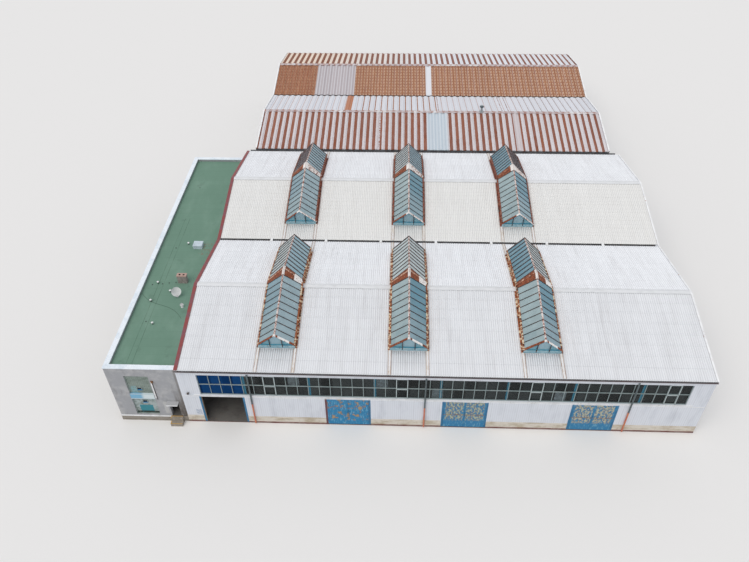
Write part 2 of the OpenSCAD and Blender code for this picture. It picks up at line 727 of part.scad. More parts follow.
module door_heads() at_origin() color(FRAME_BLUE) for (x = doors_x)
    translate([x - door_w / 2, 0, door_top]) cube([door_w, post_t, head_h]);

// The left leaf of a doorway: a steel sheet on a rim and a middle rail, its straps and its pull
module leaf(side) {
    mirror([side > 0 ? 1 : 0, 0, 0]) {
        x0 = -door_w / 2 + leaf_gap;
        bay_h = (leaf_h - 3 * leaf_rim) / 2;
        difference() {
            translate([x0, -rim_out, leaf_z]) cube([leaf_w, rim_out + leaf_t, leaf_h]);
            for (i = [0, 1], face = [[-rim_out - cut, rim_out + cut], [leaf_sheet, leaf_t]])
                translate([x0 + leaf_rim, face[0], leaf_z + leaf_rim + i * (bay_h + leaf_rim)])
                    cube([leaf_w - 2 * leaf_rim, face[1], bay_h]);
        }
        for (z = hinge_levels) translate([axis_x, 0, z + seat]) {
            translate([0, axis_y, 0]) cylinder(r = hinge_r, h = hinge_h);
            translate([0, -strap_t, 0]) cube([strap_l, strap_t, hinge_h]);
        }
        translate([x0 + leaf_w - leaf_rim / 2, -rim_out, leaf_z + leaf_h / 2]) {
            for (z = [-130, 130]) translate([0, 0, z]) rotate([90, 0, 0]) cylinder(r = 6, h = 34);
            translate([0, -34, -160]) cylinder(r = 8, h = 320);
        }
    }
}

module door_1_left() at_origin() color(STEEL_BLUE) translate([door_1_x, 0, 0]) leaf(-1);
module door_1_right() at_origin() color(STEEL_BLUE) translate([door_1_x, 0, 0]) leaf(1);
module door_2_left() at_origin() color(STEEL_BLUE) translate([door_2_x, 0, 0]) leaf(-1);
module door_2_right() at_origin() color(STEEL_BLUE) translate([door_2_x, 0, 0]) leaf(1);
module door_3_left() at_origin() color(STEEL_BLUE) translate([door_3_x, 0, 0]) leaf(-1);
module door_3_right() at_origin() color(STEEL_BLUE) translate([door_3_x, 0, 0]) leaf(1);

// Annex: its inner faces, and the doorway's left jamb
in_x = annex_x + annex_t;
in_y2 = annex_d - annex_t;
jamb_x = -entry_x - entry_w;
stair_windows = [for (s = [stair_low, stair_high]) [annex_x + stair_x, 0, s[0], 0, stair_w, s[1] - s[0]]];
side_windows = [for (z = side_sills, i = [1 : side_count])
    [annex_x, (i - 0.5) * annex_d / side_count + side_w / 2, z, -90, side_w, side_h]];

module at_window(w) {
    translate([w[0], w[1], w[2]]) rotate([0, 0, w[3]]) children();
}

module window_cut(w) {
    at_window(w) translate([0, -plinth_out - cut, 0]) cube([w[4], annex_t + plinth_out + 2 * cut, w[5]]);
}

module annex_floors() at_origin() color(CONCRETE) {
    translate([in_x, annex_t, 0]) cube([-in_x, in_y2 - annex_t, annex_floor_z]);
    translate([jamb_x, -plinth_out, 0]) cube([entry_w, annex_t + plinth_out, annex_floor_z]);
    translate([in_x, annex_t, annex_upper_z - annex_slab_t])
        cube([-in_x, in_y2 - annex_t, annex_slab_t]);
}

module annex_front_wall() at_origin() color(PLASTER) {
    difference() {
        union() {
            translate([annex_x, 0, 0]) cube([jamb_x - annex_x, annex_t, annex_h]);
            translate([annex_x - plinth_out, -plinth_out, 0])
                cube([jamb_x - annex_x + plinth_out, annex_t + plinth_out, annex_plinth_h]);
        }
        for (w = stair_windows) window_cut(w);
    }
    translate([-entry_x, 0, 0]) cube([entry_x, annex_t, entry_top]);
    translate([-entry_x, -plinth_out, 0]) cube([entry_x, plinth_out, annex_plinth_h]);
}

module annex_door_head() at_origin() color(PLASTER)
    translate([jamb_x, 0, entry_top]) cube([-jamb_x, annex_t, annex_h - entry_top]);

module annex_left_wall() at_origin() color(PLASTER) difference() {
    union() {
        translate([annex_x, annex_t, 0]) cube([annex_t, in_y2 - annex_t, annex_h]);
        translate([annex_x - plinth_out, annex_t, 0]) cube([plinth_out, in_y2 - annex_t, annex_plinth_h]);
    }
    for (w = side_windows) window_cut(w);
}

module annex_back_wall() at_origin() color(PLASTER) {
    translate([annex_x, in_y2, 0]) cube([annex_w, annex_t, annex_h]);
    translate([annex_x - plinth_out, in_y2, 0])
        cube([annex_w + plinth_out, annex_t + plinth_out, annex_plinth_h]);
}

module annex_roof() at_origin() color(GREEN)
    translate([in_x, annex_t, annex_roof_z - annex_slab_t]) cube([-in_x, in_y2 - annex_t, annex_slab_t]);

// Three lengths of coping with open joints at the corners
module annex_coping() at_origin() color(PALE_BLUE) translate([annex_x - coping_out, 0, annex_h]) {
    joint = 2;
    w = annex_t + 2 * coping_out;
    long = annex_w + coping_out - flash_t - joint;
    translate([0, -coping_out, 0]) cube([long, w, coping_t]);
    translate([0, annex_t + coping_out + joint, 0])
        cube([w, annex_d - 2 * (annex_t + coping_out + joint), coping_t]);
    translate([0, in_y2 - coping_out, 0]) cube([long, w, coping_t]);
}

// Bars of an annex window: one upright in the middle and a rail below the vent lights
module annex_bars(w, h) {
    translate([0, window_back + bar_t, 0]) rotate([90, 0, 0]) linear_extrude(bar_t) difference() {
        square([w, h]);
        for (i = [0, 1], part = [[bar_w, 0.36 * h - bar_w], [0.36 * h + bar_w, 0.64 * h - 2 * bar_w]])
            translate([bar_w + i * (w - bar_w) / 2, part[0]]) square([(w - 3 * bar_w) / 2, part[1]]);
    }
}

// A rim of bars, drawn on the window's face
module rim(size) {
    difference() {
        square(size);
        translate([bar_w, bar_w]) square([size[0] - 2 * bar_w, size[1] - 2 * bar_w]);
    }
}

// A stair window in block glazing: a rim, and a smaller one round the vent that sits on the blocks
module stair_bars(w, h, vent_at) {
    translate([0, window_back + bar_t, 0]) rotate([90, 0, 0]) linear_extrude(bar_t) {
        rim([w, h]);
        translate(vent_at) rim(stair_vent);
    }
}

module annex_windows() at_origin() color(BAR) {
    for (i = [0, 1]) at_window(stair_windows[i])
        stair_bars(stair_windows[i][4], stair_windows[i][5], stair_vents_at[i]);
    for (w = side_windows) at_window(w) annex_bars(w[4], w[5]);
    translate([annex_x + stair_x, -plinth_out, stair_low[1] + 65])
        cube([stair_w, plinth_out, stair_high[0] - stair_low[1] - 75]);
}

module annex_glass() at_origin() color(GLASS) for (w = concat(stair_windows, side_windows))
    at_window(w) translate([0, window_back + bar_t, 0]) cube([w[4], glass_t, w[5]]);

module annex_canopy() at_origin() color(WHITE) {
    z = entry_top + 60;
    along_x(jamb_x - 50, entry_w + 100) polygon([[-canopy_d, z], [0, z], [0, z + 50], [-canopy_d, z + 20]]);
}

module annex_steps() at_origin() color(CONCRETE) {
    rise = annex_floor_z / 2;
    along_x(jamb_x - 60, entry_w + 120) polygon([[-step_d, 0], [-plinth_out, 0],
        [-plinth_out, 2 * rise], [-step_d / 2, 2 * rise], [-step_d / 2, rise], [-step_d, rise]]);
}

module chimney() at_origin() color("#b09c94") translate([chimney_at[0], chimney_at[1], annex_roof_z]) {
    size = chimney_size;
    lip = 15;
    difference() {
        union() {
            translate([-size[0] / 2, -size[1] / 2, 0]) cube(size);
            translate([-size[0] / 2 - lip, -size[1] / 2 - lip, size[2] - 45])
                cube([size[0] + 2 * lip, size[1] + 2 * lip, 45]);
        }
        for (s = SIDES) translate([s * size[0] / 4.6 - flue_w / 2, -flue_w / 2, size[2] - 200])
            cube([flue_w, flue_w, 200 + cut]);
    }
}

module mushroom(r, h) {
    cylinder(r = r / 2, h = 0.75 * h);
    translate([0, 0, 0.72 * h]) cylinder(r = r, h = 0.1 * h);
    translate([0, 0, 0.82 * h]) cylinder(r1 = r, r2 = 0.55 * r, h = 0.18 * h);
}

module roof_vents() at_origin() color(WHITE) {
    crest = rear_eave_h + rear_rise + rear_top + flash_t + seat;
    saddle = 120;
    for (v = vents_at) translate([v[0], v[1], annex_roof_z]) mushroom(vent_r, vent_h);
    for (v = outlets_at) translate([v[0], v[1], annex_roof_z]) cylinder(r = outlet_r, h = outlet_h);
    translate([0, rear_y + rear_nave_d / 2, 0]) {
        along_x(cowl_x - saddle, 2 * saddle) polygon([[-saddle, crest - saddle * tan(rear_a)],
            [0, crest], [saddle, crest - saddle * tan(rear_a)], [saddle, crest + 40],
            [-saddle, crest + 40]]);
        translate([cowl_x, 0, crest + 40]) mushroom(1.15 * saddle, 3.6 * saddle);
    }
}

module roof_hatch() at_origin() color(PALE_BLUE) translate([hatch_at[0], hatch_at[1], annex_roof_z]) {
    size = hatch_size;
    lip = 18;
    translate([-size[0] / 2, -size[1] / 2, 0]) cube(size);
    translate([-size[0] / 2 - lip, -size[1] / 2 - lip, size[2] - 35])
        cube([size[0] + 2 * lip, size[1] + 2 * lip, 35]);
}

// A shallow bowl on a mast, tilted to the front right, with its receiver on an arm
module dish_on_mast(r, h) {
    depth = 0.2 * r;
    tilt = 56;
    steps = 8;
    sheet = 6;
    cylinder(r = 14, h = h);
    cylinder(r = 60, h = 12);
    translate([0, 0, h]) rotate([0, tilt, -62]) {
        rotate_extrude() polygon(concat(
            [for (i = [0 : steps]) [r * i / steps, depth * pow(i / steps, 2)]],
            [for (i = [steps : -1 : 0]) [r * i / steps, depth * pow(i / steps, 2) + sheet]]));
        translate([0.9 * r, 0, 0.85 * depth]) rotate([0, -52, 0]) cylinder(r = 6, h = 0.8 * r);
        translate([0.9 * r - 0.8 * r * sin(52), 0, 0.85 * depth + 0.8 * r * cos(52) - 20])
            cylinder(r = 16, h = 44);
    }
}

module dish() at_origin() color(WHITE) {
    translate([dish_at[0], dish_at[1], annex_roof_z]) dish_on_mast(dish_r, dish_h);
    translate([small_dish_at[0], small_dish_at[1], annex_roof_z]) dish_on_mast(small_dish_r, small_dish_h);
}

hall_floor();
front_plinth();
front_wall();
sill_band();
eave_band();
window_frames();
hall_glass();
blue_panes();
side_walls();
back_wall();
columns();
column_heads();
roof_beams();
white_roof();
rear_roof();
ridge_caps();
eave_gutters();
valley_gutters();
downpipes();
left_verge();
white_verges();
skylight_kerbs();
skylight_gables();
skylight_glazing();
skylight_ridges();
door_posts();
door_heads();
door_1_left();
door_1_right();
door_2_left();
door_2_right();
door_3_left();
door_3_right();
annex_floors();
annex_front_wall();
annex_door_head();
annex_left_wall();
annex_back_wall();
annex_roof();
annex_coping();
annex_windows();
annex_glass();
annex_canopy();
annex_steps();
chimney();
roof_vents();
roof_hatch();
dish();
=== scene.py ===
"""Looks of the half-size factory building: sheets, bars, flashings, glass, paint, rust and studio."""
import json
import logging
import math
from dataclasses import dataclass, field
from enum import Enum
from typing import Iterable, Sequence

import bpy
from mathutils import Matrix, Vector


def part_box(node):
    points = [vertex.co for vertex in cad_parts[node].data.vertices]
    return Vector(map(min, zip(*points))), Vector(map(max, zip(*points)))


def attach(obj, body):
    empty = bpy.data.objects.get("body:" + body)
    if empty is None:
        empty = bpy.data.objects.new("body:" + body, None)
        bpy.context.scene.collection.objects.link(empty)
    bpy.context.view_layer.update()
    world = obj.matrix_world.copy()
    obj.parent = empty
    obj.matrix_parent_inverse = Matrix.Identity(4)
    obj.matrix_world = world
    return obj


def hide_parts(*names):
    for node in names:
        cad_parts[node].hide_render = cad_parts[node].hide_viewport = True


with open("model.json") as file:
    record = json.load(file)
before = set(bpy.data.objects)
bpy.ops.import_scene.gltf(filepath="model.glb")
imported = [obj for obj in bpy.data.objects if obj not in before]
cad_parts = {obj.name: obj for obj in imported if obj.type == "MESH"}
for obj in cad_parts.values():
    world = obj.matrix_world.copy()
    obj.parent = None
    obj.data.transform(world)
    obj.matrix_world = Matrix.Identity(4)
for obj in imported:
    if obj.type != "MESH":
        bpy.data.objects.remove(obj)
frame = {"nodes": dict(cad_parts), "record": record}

LOG = logging.getLogger("factory")
Colour = tuple[float, float, float, float]
Span = tuple[float, float]
Source = "bpy.types.NodeSocket | float | Sequence[float]"
Triple = tuple[float, float, float]
Placed = tuple[bpy.types.Mesh, Matrix]


def srgb(code: str) -> Colour:
    """Linear colour of a hex code.

    Args:
        code: six hex digits after a hash.

    Returns:
        Red, green, blue and a full alpha.
    """
    parts = [int(code[i:i + 2], 16) / 255 for i in (1, 3, 5)]
    linear = [c / 12.92 if c <= 0.04045 else ((c + 0.055) / 1.055) ** 2.4 for c in parts]
    return (*linear, 1.0)


@dataclass(frozen=True)
class Slope:
    """One slope of a white roof, with its measures down the slope from the ridge.

    The frame brings (x, down the slope, square to it) to the row frame, from the ridge's left end.
    """

    nave: int
    side: int
    frame: Matrix
    sky_run: float
    end: float


@dataclass(frozen=True)
class Site:
    """The building's own frame in metres: x from the hall's left end, y from its front wall's face."""

    origin: Vector
    hall_l: float
    nave_d: float = 9.4
    bay: float = 3.0
    eave_h: float = 3.74
    roof_rise: float = 0.94
    roof_t: float = 0.05
    eave_out: float = 0.065
    sheet_gap: float = 0.09
    wave_pitch: float = 0.1
    sky_bays: tuple[int, ...] = (1, 3, 5)
    sky_w: float = 1.7
    sky_runs: Span = (3.5, 3.4)
    sky_h: float = 0.8
    kerb_h: float = 0.21
    kerb_t: float = 0.06
    rear_y: float = 18.95
    rear_nave_d: float = 7.5
    rib_pitch: float = 22.9 / 54
    rib_start: float = 0.535
    plinth_h: float = 0.485
    window_sill: float = 2.025
    window_top: float = 3.4
    window_inset: float = 0.9

    @classmethod
    def measured(cls) -> "Site":
        """The site, with its origin and length read from the front wall's box."""
        low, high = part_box("front_wall")
        return cls(origin=Vector((low.x, low.y, 0.0)), hall_l=high.x - low.x)

    @property
    def slope(self) -> float:
        """Angle of the white roofs."""
        return math.atan2(self.roof_rise, self.nave_d / 2)

    @property
    def sky_lean(self) -> float:
        """Angle of the rooflights' glass."""
        return math.atan2(self.sky_h, self.sky_w / 2)

    def sky_mid(self, bay: int) -> float:
        """Middle of the rooflight in a bay."""
        return (bay + 0.5) * self.bay

    def roof_slope(self, nave: int, side: int) -> Slope:
        """One slope of a white roof.

        Args:
            nave: 0 for the front nave, 1 for the second.
            side: -1 forward of the ridge, 1 behind it.

        Returns:
            The slope.
        """
        cos_a, sin_a = math.cos(self.slope), math.sin(self.slope)
        ridge = Vector((0, (nave + 0.5) * self.nave_d, self.eave_h + self.roof_rise)) + self.origin
        turn = Matrix(((1, 0, 0, ridge.x), (0, side * cos_a, side * sin_a, ridge.y),
                       (0, -sin_a, cos_a, ridge.z), (0, 0, 0, 1)))
        run = self.sky_runs[0 if side < 0 else 1]
        out = self.eave_out if nave == 0 and side < 0 else -self.sheet_gap
        return Slope(nave, side, turn, run / cos_a, (self.nave_d / 2 + out) / cos_a)

    def roof_slopes(self) -> list[Slope]:
        """The four slopes of the white roofs, from the front to the back."""
        return [self.roof_slope(nave, side) for nave in (0, 1) for side in (-1, 1)]

    def at(self, x: float, y: float, z: float) -> Matrix:
        """Matrix that moves a piece from the building's frame to the row frame, at x, y, z."""
        return Matrix.Translation(self.origin + Vector((x, y, z)))


class Graph:
    """Adds nodes to a tree and joins them."""

    def __init__(self, tree: bpy.types.NodeTree) -> None:
        """Works on one tree."""
        self.tree = tree

    def feed(self, socket: bpy.types.NodeSocket, value: Source) -> None:
        """Links a socket, or sets it where the value is plain."""
        if isinstance(value, bpy.types.NodeSocket):
            self.tree.links.new(value, socket)
        else:
            socket.default_value = value

    def add(self, kind: str, inputs: dict | None = None, **settings: object) -> bpy.types.Node:
        """Adds a node.

        Args:
            kind: the node's type name.
            inputs: values or sockets by input name or index.
            settings: the node's own settings.

        Returns:
            The node.
        """
        node = self.tree.nodes.new(kind)
        for name, value in settings.items():
            setattr(node, name, value)
        for key, value in (inputs or {}).items():
            self.feed(node.inputs[key], value)
        return node

    def math(self, operation: str, *values: Source) -> bpy.types.NodeSocket:
        """The result of a Math node on one to three values."""
        return self.add("ShaderNodeMath", dict(enumerate(values)), operation=operation).outputs[0]

    def vector(self, operation: str, *values: Source) -> bpy.types.NodeSocket:
        """The result of a Vector Math node."""
        return self.add("ShaderNodeVectorMath", dict(enumerate(values)), operation=operation).outputs[0]

    def mix(self, mask: Source, low: Source, high: Source) -> bpy.types.NodeSocket:
        """Colour between low and high, by a mask."""
        return self.add("ShaderNodeMix", {0: mask, 6: low, 7: high}, data_type="RGBA").outputs[2]

    def ramp(self, value: Source, low: float, high: float,
             to: Span = (0.0, 1.0)) -> bpy.types.NodeSocket:
        """A value mapped from low..high to another range, clamped."""
        ends = {0: value, 1: low, 2: high, 3: to[0], 4: to[1]}
        return self.add("ShaderNodeMapRange", ends).outputs[0]

    def above(self, value: Source, limit: Source) -> bpy.types.NodeSocket:
        """1 where a value is over a limit, else 0."""
        return self.math("GREATER_THAN", value, limit)

    def below(self, value: Source, limit: Source) -> bpy.types.NodeSocket:
        """1 where a value is under a limit, else 0."""
        return self.math("LESS_THAN", value, limit)

    def between(self, mask: Source, low: float, high: float) -> bpy.types.NodeSocket:
        """A mask whose 0 becomes low and whose 1 becomes high."""
        return self.ramp(mask, 0.0, 1.0, (low, high))

    def xyz(self, vector: Source) -> list[bpy.types.NodeSocket]:
        """The three parts of a vector."""
        return list(self.add("ShaderNodeSeparateXYZ", {0: vector}).outputs)

    def join(self, x: Source, y: Source, z: Source) -> bpy.types.NodeSocket:
        """A vector of three values."""
        return self.add("ShaderNodeCombineXYZ", {0: x, 1: y, 2: z}).outputs[0]


class Effect(Enum):
    """Shader node groups that several finishes share."""

    PATCHES = "weather_patches"
    CELLS = "sheet_tones"
    STRIPES = "even_lines"
    BAND = "soft_band"


class Effects:
    """Builds each shared shader group once, and places it in a material's tree."""

    def __init__(self) -> None:
        """Makes the groups."""
        self.groups: dict[Effect, bpy.types.NodeTree] = {}
        self.patches()
        self.cells()
        self.stripes()
        self.band()

    def start(self, effect: Effect, inputs: dict[str, str],
              output: str) -> tuple[Graph, dict, bpy.types.Node]:
        """Begins a group.

        Args:
            effect: which group this is.
            inputs: socket type by input name.
            output: name of its one float output.

        Returns:
            The graph, its inputs by name, and the output node.
        """
        tree = bpy.data.node_groups.new(effect.value, "ShaderNodeTree")
        for name, kind in inputs.items():
            tree.interface.new_socket(name, in_out="INPUT", socket_type=kind)
        tree.interface.new_socket(output, in_out="OUTPUT", socket_type="NodeSocketFloat")
        self.groups[effect] = tree
        graph = Graph(tree)
        entry = graph.add("NodeGroupInput")
        return graph, {name: entry.outputs[name] for name in inputs}, graph.add("NodeGroupOutput")

    def faded(self, graph: Graph, away: Source, inner: Source, blur: Source) -> bpy.types.NodeSocket:
        """1 up to a distance, then down to 0 over the blur."""
        outer = graph.math("ADD", inner, blur)
        ends = {0: away, 1: inner, 2: outer, 3: 1.0, 4: 0.0}
        return graph.add("ShaderNodeMapRange", ends).outputs[0]

    def patches(self) -> None:
        """Cloudy patches of a given size, between two thresholds."""
        graph, entry, end = self.start(Effect.PATCHES, {
            "Vector": "NodeSocketVector", "Size": "NodeSocketVector",
            "Low": "NodeSocketFloat", "High": "NodeSocketFloat"}, "Mask")
        scaled = graph.vector("DIVIDE", entry["Vector"], entry["Size"])
        cloud = graph.add("ShaderNodeTexNoise", {"Vector": scaled, "Scale": 1.0, "Detail": 5.0,
                                                 "Roughness": 0.62})
        mask = graph.add("ShaderNodeMapRange", {0: cloud.outputs[0], 1: entry["Low"], 2: entry["High"]},
                         interpolation_type="SMOOTHSTEP")
        graph.feed(end.inputs[0], mask.outputs[0])

    def cells(self) -> None:
        """A random value for each box of a given size."""
        graph, entry, end = self.start(Effect.CELLS, {
            "Vector": "NodeSocketVector", "Size": "NodeSocketVector"}, "Value")
        scaled = graph.vector("DIVIDE", entry["Vector"], entry["Size"])
        dice = graph.add("ShaderNodeTexWhiteNoise", {0: graph.vector("FLOOR", scaled)})
        graph.feed(end.inputs[0], dice.outputs[0])

    def stripes(self) -> None:
        """Even lines of a given pitch and width along one coordinate."""
        graph, entry, end = self.start(Effect.STRIPES, {
            "Along": "NodeSocketFloat", "Pitch": "NodeSocketFloat", "Width": "NodeSocketFloat",
            "Blur": "NodeSocketFloat"}, "Mask")
        half = graph.math("MULTIPLY", entry["Pitch"], 0.5)
        away = graph.math("PINGPONG", entry["Along"], half)
        inner = graph.math("MULTIPLY", entry["Width"], 0.5)
        graph.feed(end.inputs[0], self.faded(graph, away, inner, entry["Blur"]))

    def band(self) -> None:
        """One soft-edged band between two places along a coordinate."""
        graph, entry, end = self.start(Effect.BAND, {
            "Along": "NodeSocketFloat", "Low": "NodeSocketFloat", "High": "NodeSocketFloat",
            "Blur": "NodeSocketFloat"}, "Mask")
        middle = graph.math("MULTIPLY", graph.math("ADD", entry["Low"], entry["High"]), 0.5)
        half = graph.math("MULTIPLY", graph.math("SUBTRACT", entry["High"], entry["Low"]), 0.5)
        away = graph.math("ABSOLUTE", graph.math("SUBTRACT", entry["Along"], middle))
        graph.feed(end.inputs[0], self.faded(graph, away, half, entry["Blur"]))

    def place(self, graph: Graph, effect: Effect, *values: Source) -> bpy.types.NodeSocket:
        """Puts a group into a tree with its inputs in order, and returns its output."""
        node = graph.add("ShaderNodeGroup", node_tree=self.groups[effect])
        for socket, value in zip(node.inputs, values):
            graph.feed(socket, value)
        return node.outputs[0]


class Coat:
    """One material being made: its shader, its coordinates and the effects placed in it."""

    def __init__(self, name: str, site: Site, effects: Effects) -> None:
        """Starts an empty material with a shader and the building's coordinates.

        Args:
            name: the material's name.
            site: gives the building's origin.
            effects: the shared groups.
        """
        self.material = bpy.data.materials.new(name)
        self.material.use_nodes = True
        tree = self.material.node_tree
        self.shader = next(n for n in tree.nodes if n.type == "BSDF_PRINCIPLED")
        self.graph = Graph(tree)
        self.site = site
        self.effects = effects
        place = self.graph.add("ShaderNodeTexCoord").outputs["Object"]
        self.place = self.graph.vector("SUBTRACT", place, tuple(site.origin))
        self.x, self.y, self.z = self.graph.xyz(self.place)
        normal = self.graph.add("ShaderNodeNewGeometry").outputs["Normal"]
        self.normal_x, self.normal_y, self.normal_z = self.graph.xyz(normal)

    def patches(self, size: float | Sequence[float], low: float, high: float) -> bpy.types.NodeSocket:
        """Mask of cloudy patches of one size, or of one for each way."""
        each = (size,) * 3 if isinstance(size, float) else size
        return self.effects.place(self.graph, Effect.PATCHES, self.place, each, low, high)

    def cells(self, size: Sequence[float], shift: Sequence[float] = (0, 0, 0)) -> bpy.types.NodeSocket:
        """Random value for each box of a size."""
        moved = self.graph.vector("ADD", self.place, shift)
        return self.effects.place(self.graph, Effect.CELLS, moved, size)

    def stripes(self, along: Source, pitch: float, width: float, blur: float = 0.004,
                shift: float = 0.0) -> bpy.types.NodeSocket:
        """Mask of even lines along a coordinate."""
        moved = self.graph.math("SUBTRACT", along, shift)
        return self.effects.place(self.graph, Effect.STRIPES, moved, pitch, width, blur)

    def band(self, along: Source, low: float, high: float, blur: float = 0.005) -> bpy.types.NodeSocket:
        """Mask of one band along a coordinate."""
        return self.effects.place(self.graph, Effect.BAND, along, low, high, blur)

    def both(self, *masks: Source) -> bpy.types.NodeSocket:
        """Masks multiplied together."""
        result = masks[0]
        for mask in masks[1:]:
            result = self.graph.math("MULTIPLY", result, mask)
        return result

    def either(self, first: Source, second: Source) -> bpy.types.NodeSocket:
        """The larger of two masks."""
        return self.graph.math("MAXIMUM", first, second)

    def invert(self, mask: Source) -> bpy.types.NodeSocket:
        """One minus a mask."""
        return self.graph.math("SUBTRACT", 1.0, mask)

    def over(self, under: Source, code: str, *masks: Source) -> bpy.types.NodeSocket:
        """A colour laid over another where all the masks meet.

        Args:
            under: the colour below, a socket or a hex code.
            code: hex code of the colour above.
            masks: masks and shares that are multiplied together.

        Returns:
            The mixed colour.
        """
        below = srgb(under) if isinstance(under, str) else under
        return self.graph.mix(self.both(*masks), below, srgb(code))

    def area(self, x: Span | None = None, y: Span | None = None, z: Span | None = None,
             blur: float = 0.01) -> bpy.types.NodeSocket:
        """Mask of a box with soft sides; a way that is left out has no limit."""
        ways = ((self.x, x), (self.y, y), (self.z, z))
        return self.both(*(self.band(along, *span, blur) for along, span in ways if span))

    def from_rooflight(self) -> bpy.types.NodeSocket:
        """Distance in x from the nearest rooflight's middle, positive to the right."""
        start = self.site.bay - self.site.sky_mid(self.site.sky_bays[0])
        turns = self.graph.math("MODULO", self.graph.math("ADD", self.x, start), 2 * self.site.bay)
        return self.graph.math("SUBTRACT", turns, self.site.bay)

    def from_valley(self) -> bpy.types.NodeSocket:
        """Distance in y from the nearest eave or valley of the white naves."""
        return self.graph.math("PINGPONG", self.y, self.site.nave_d / 2)

    def past_ridge(self) -> bpy.types.NodeSocket:
        """Distance in y from the ridge of a white nave, positive behind it."""
        into = self.graph.math("MODULO", self.y, self.site.nave_d)
        return self.graph.math("SUBTRACT", into, self.site.nave_d / 2)

    def behind_ridge(self) -> bpy.types.NodeSocket:
        """Mask of what lies behind the ridge of its nave."""
        return self.graph.above(self.past_ridge(), 0.0)

    def second_nave(self) -> bpy.types.NodeSocket:
        """Mask of what lies behind the first white nave."""
        return self.graph.above(self.y, self.site.nave_d)

    def scaled(self, colour: Source, level: Source) -> bpy.types.NodeSocket:
        """A colour times a number."""
        node = self.graph.add("ShaderNodeVectorMath", {0: colour}, operation="SCALE")
        self.graph.feed(node.inputs["Scale"], level)
        return node.outputs[0]

    def toned(self, colour: Source, mask: Source, low: float, high: float) -> bpy.types.NodeSocket:
        """A colour whose brightness follows a mask between two levels."""
        return self.scaled(colour, self.graph.between(mask, low, high))

    def bump(self, height: Source, distance: float) -> None:
        """Roughens the surface by a height."""
        values = {"Height": height, "Distance": distance, "Strength": 1.0}
        node = self.graph.add("ShaderNodeBump", values)
        self.graph.feed(self.shader.inputs["Normal"], node.outputs[0])

    def grain(self, size: float, distance: float) -> None:
        """Roughens the surface by a cloud of one grain size."""
        self.bump(self.patches(size, 0.3, 0.7), distance)

    def done(self, colour: Source, roughness: float | None = None, metallic: float | None = None,
             specular: float | None = None) -> bpy.types.Material:
        """Sets the shader's colour and plain values, and returns the material."""
        self.graph.feed(self.shader.inputs["Base Color"], colour)
        plain = {"Roughness": roughness, "Metallic": metallic, "Specular IOR Level": specular}
        for name, value in plain.items():
            if value is not None:
                self.shader.inputs[name].default_value = value
        return self.material


@dataclass(frozen=True)
class Workshop:
    """What every finish needs to make its material."""

    site: Site
    effects: Effects

    def coat(self, name: str) -> Coat:
        """Starts a material."""
        return Coat(name, self.site, self.effects)


@dataclass(frozen=True)
class Weathered:
    """A painted, rendered or sheet surface with cloudy patches, runs, rust and a fine grain."""

    name: str
    base: str
    patch: str
    patch_size: Triple = (0.5, 0.5, 0.5)
    patch_range: Span = (0.42, 0.68)
    run: str | None = None
    run_size: Triple = (0.06, 0.06, 0.9)
    run_range: Span = (0.55, 0.75)
    rust: str | None = None
    rust_size: Triple = (0.12, 0.12, 0.12)
    rust_range: Span = (0.6, 0.64)
    grain: float = 0.002
    grain_size: float = 0.01
    roughness: float = 0.65
    metallic: float = 0.0
    specular: float = 0.35

    def make(self, workshop: Workshop) -> bpy.types.Material:
        """The material of this finish."""
        coat = workshop.coat(self.name)
        colour = coat.over(self.base, self.patch, coat.patches(self.patch_size, *self.patch_range))
        if self.run:
            colour = coat.over(colour, self.run, coat.patches(self.run_size, *self.run_range))
        if self.rust:
            colour = coat.over(colour, self.rust, coat.patches(self.rust_size, *self.rust_range))
        tone = coat.patches(self.grain_size * 4, 0.2, 0.8)
        colour = coat.toned(colour, tone, 0.94, 1.05)
        coat.grain(self.grain_size, self.grain)
        return coat.done(colour, self.roughness, self.metallic, self.specular)


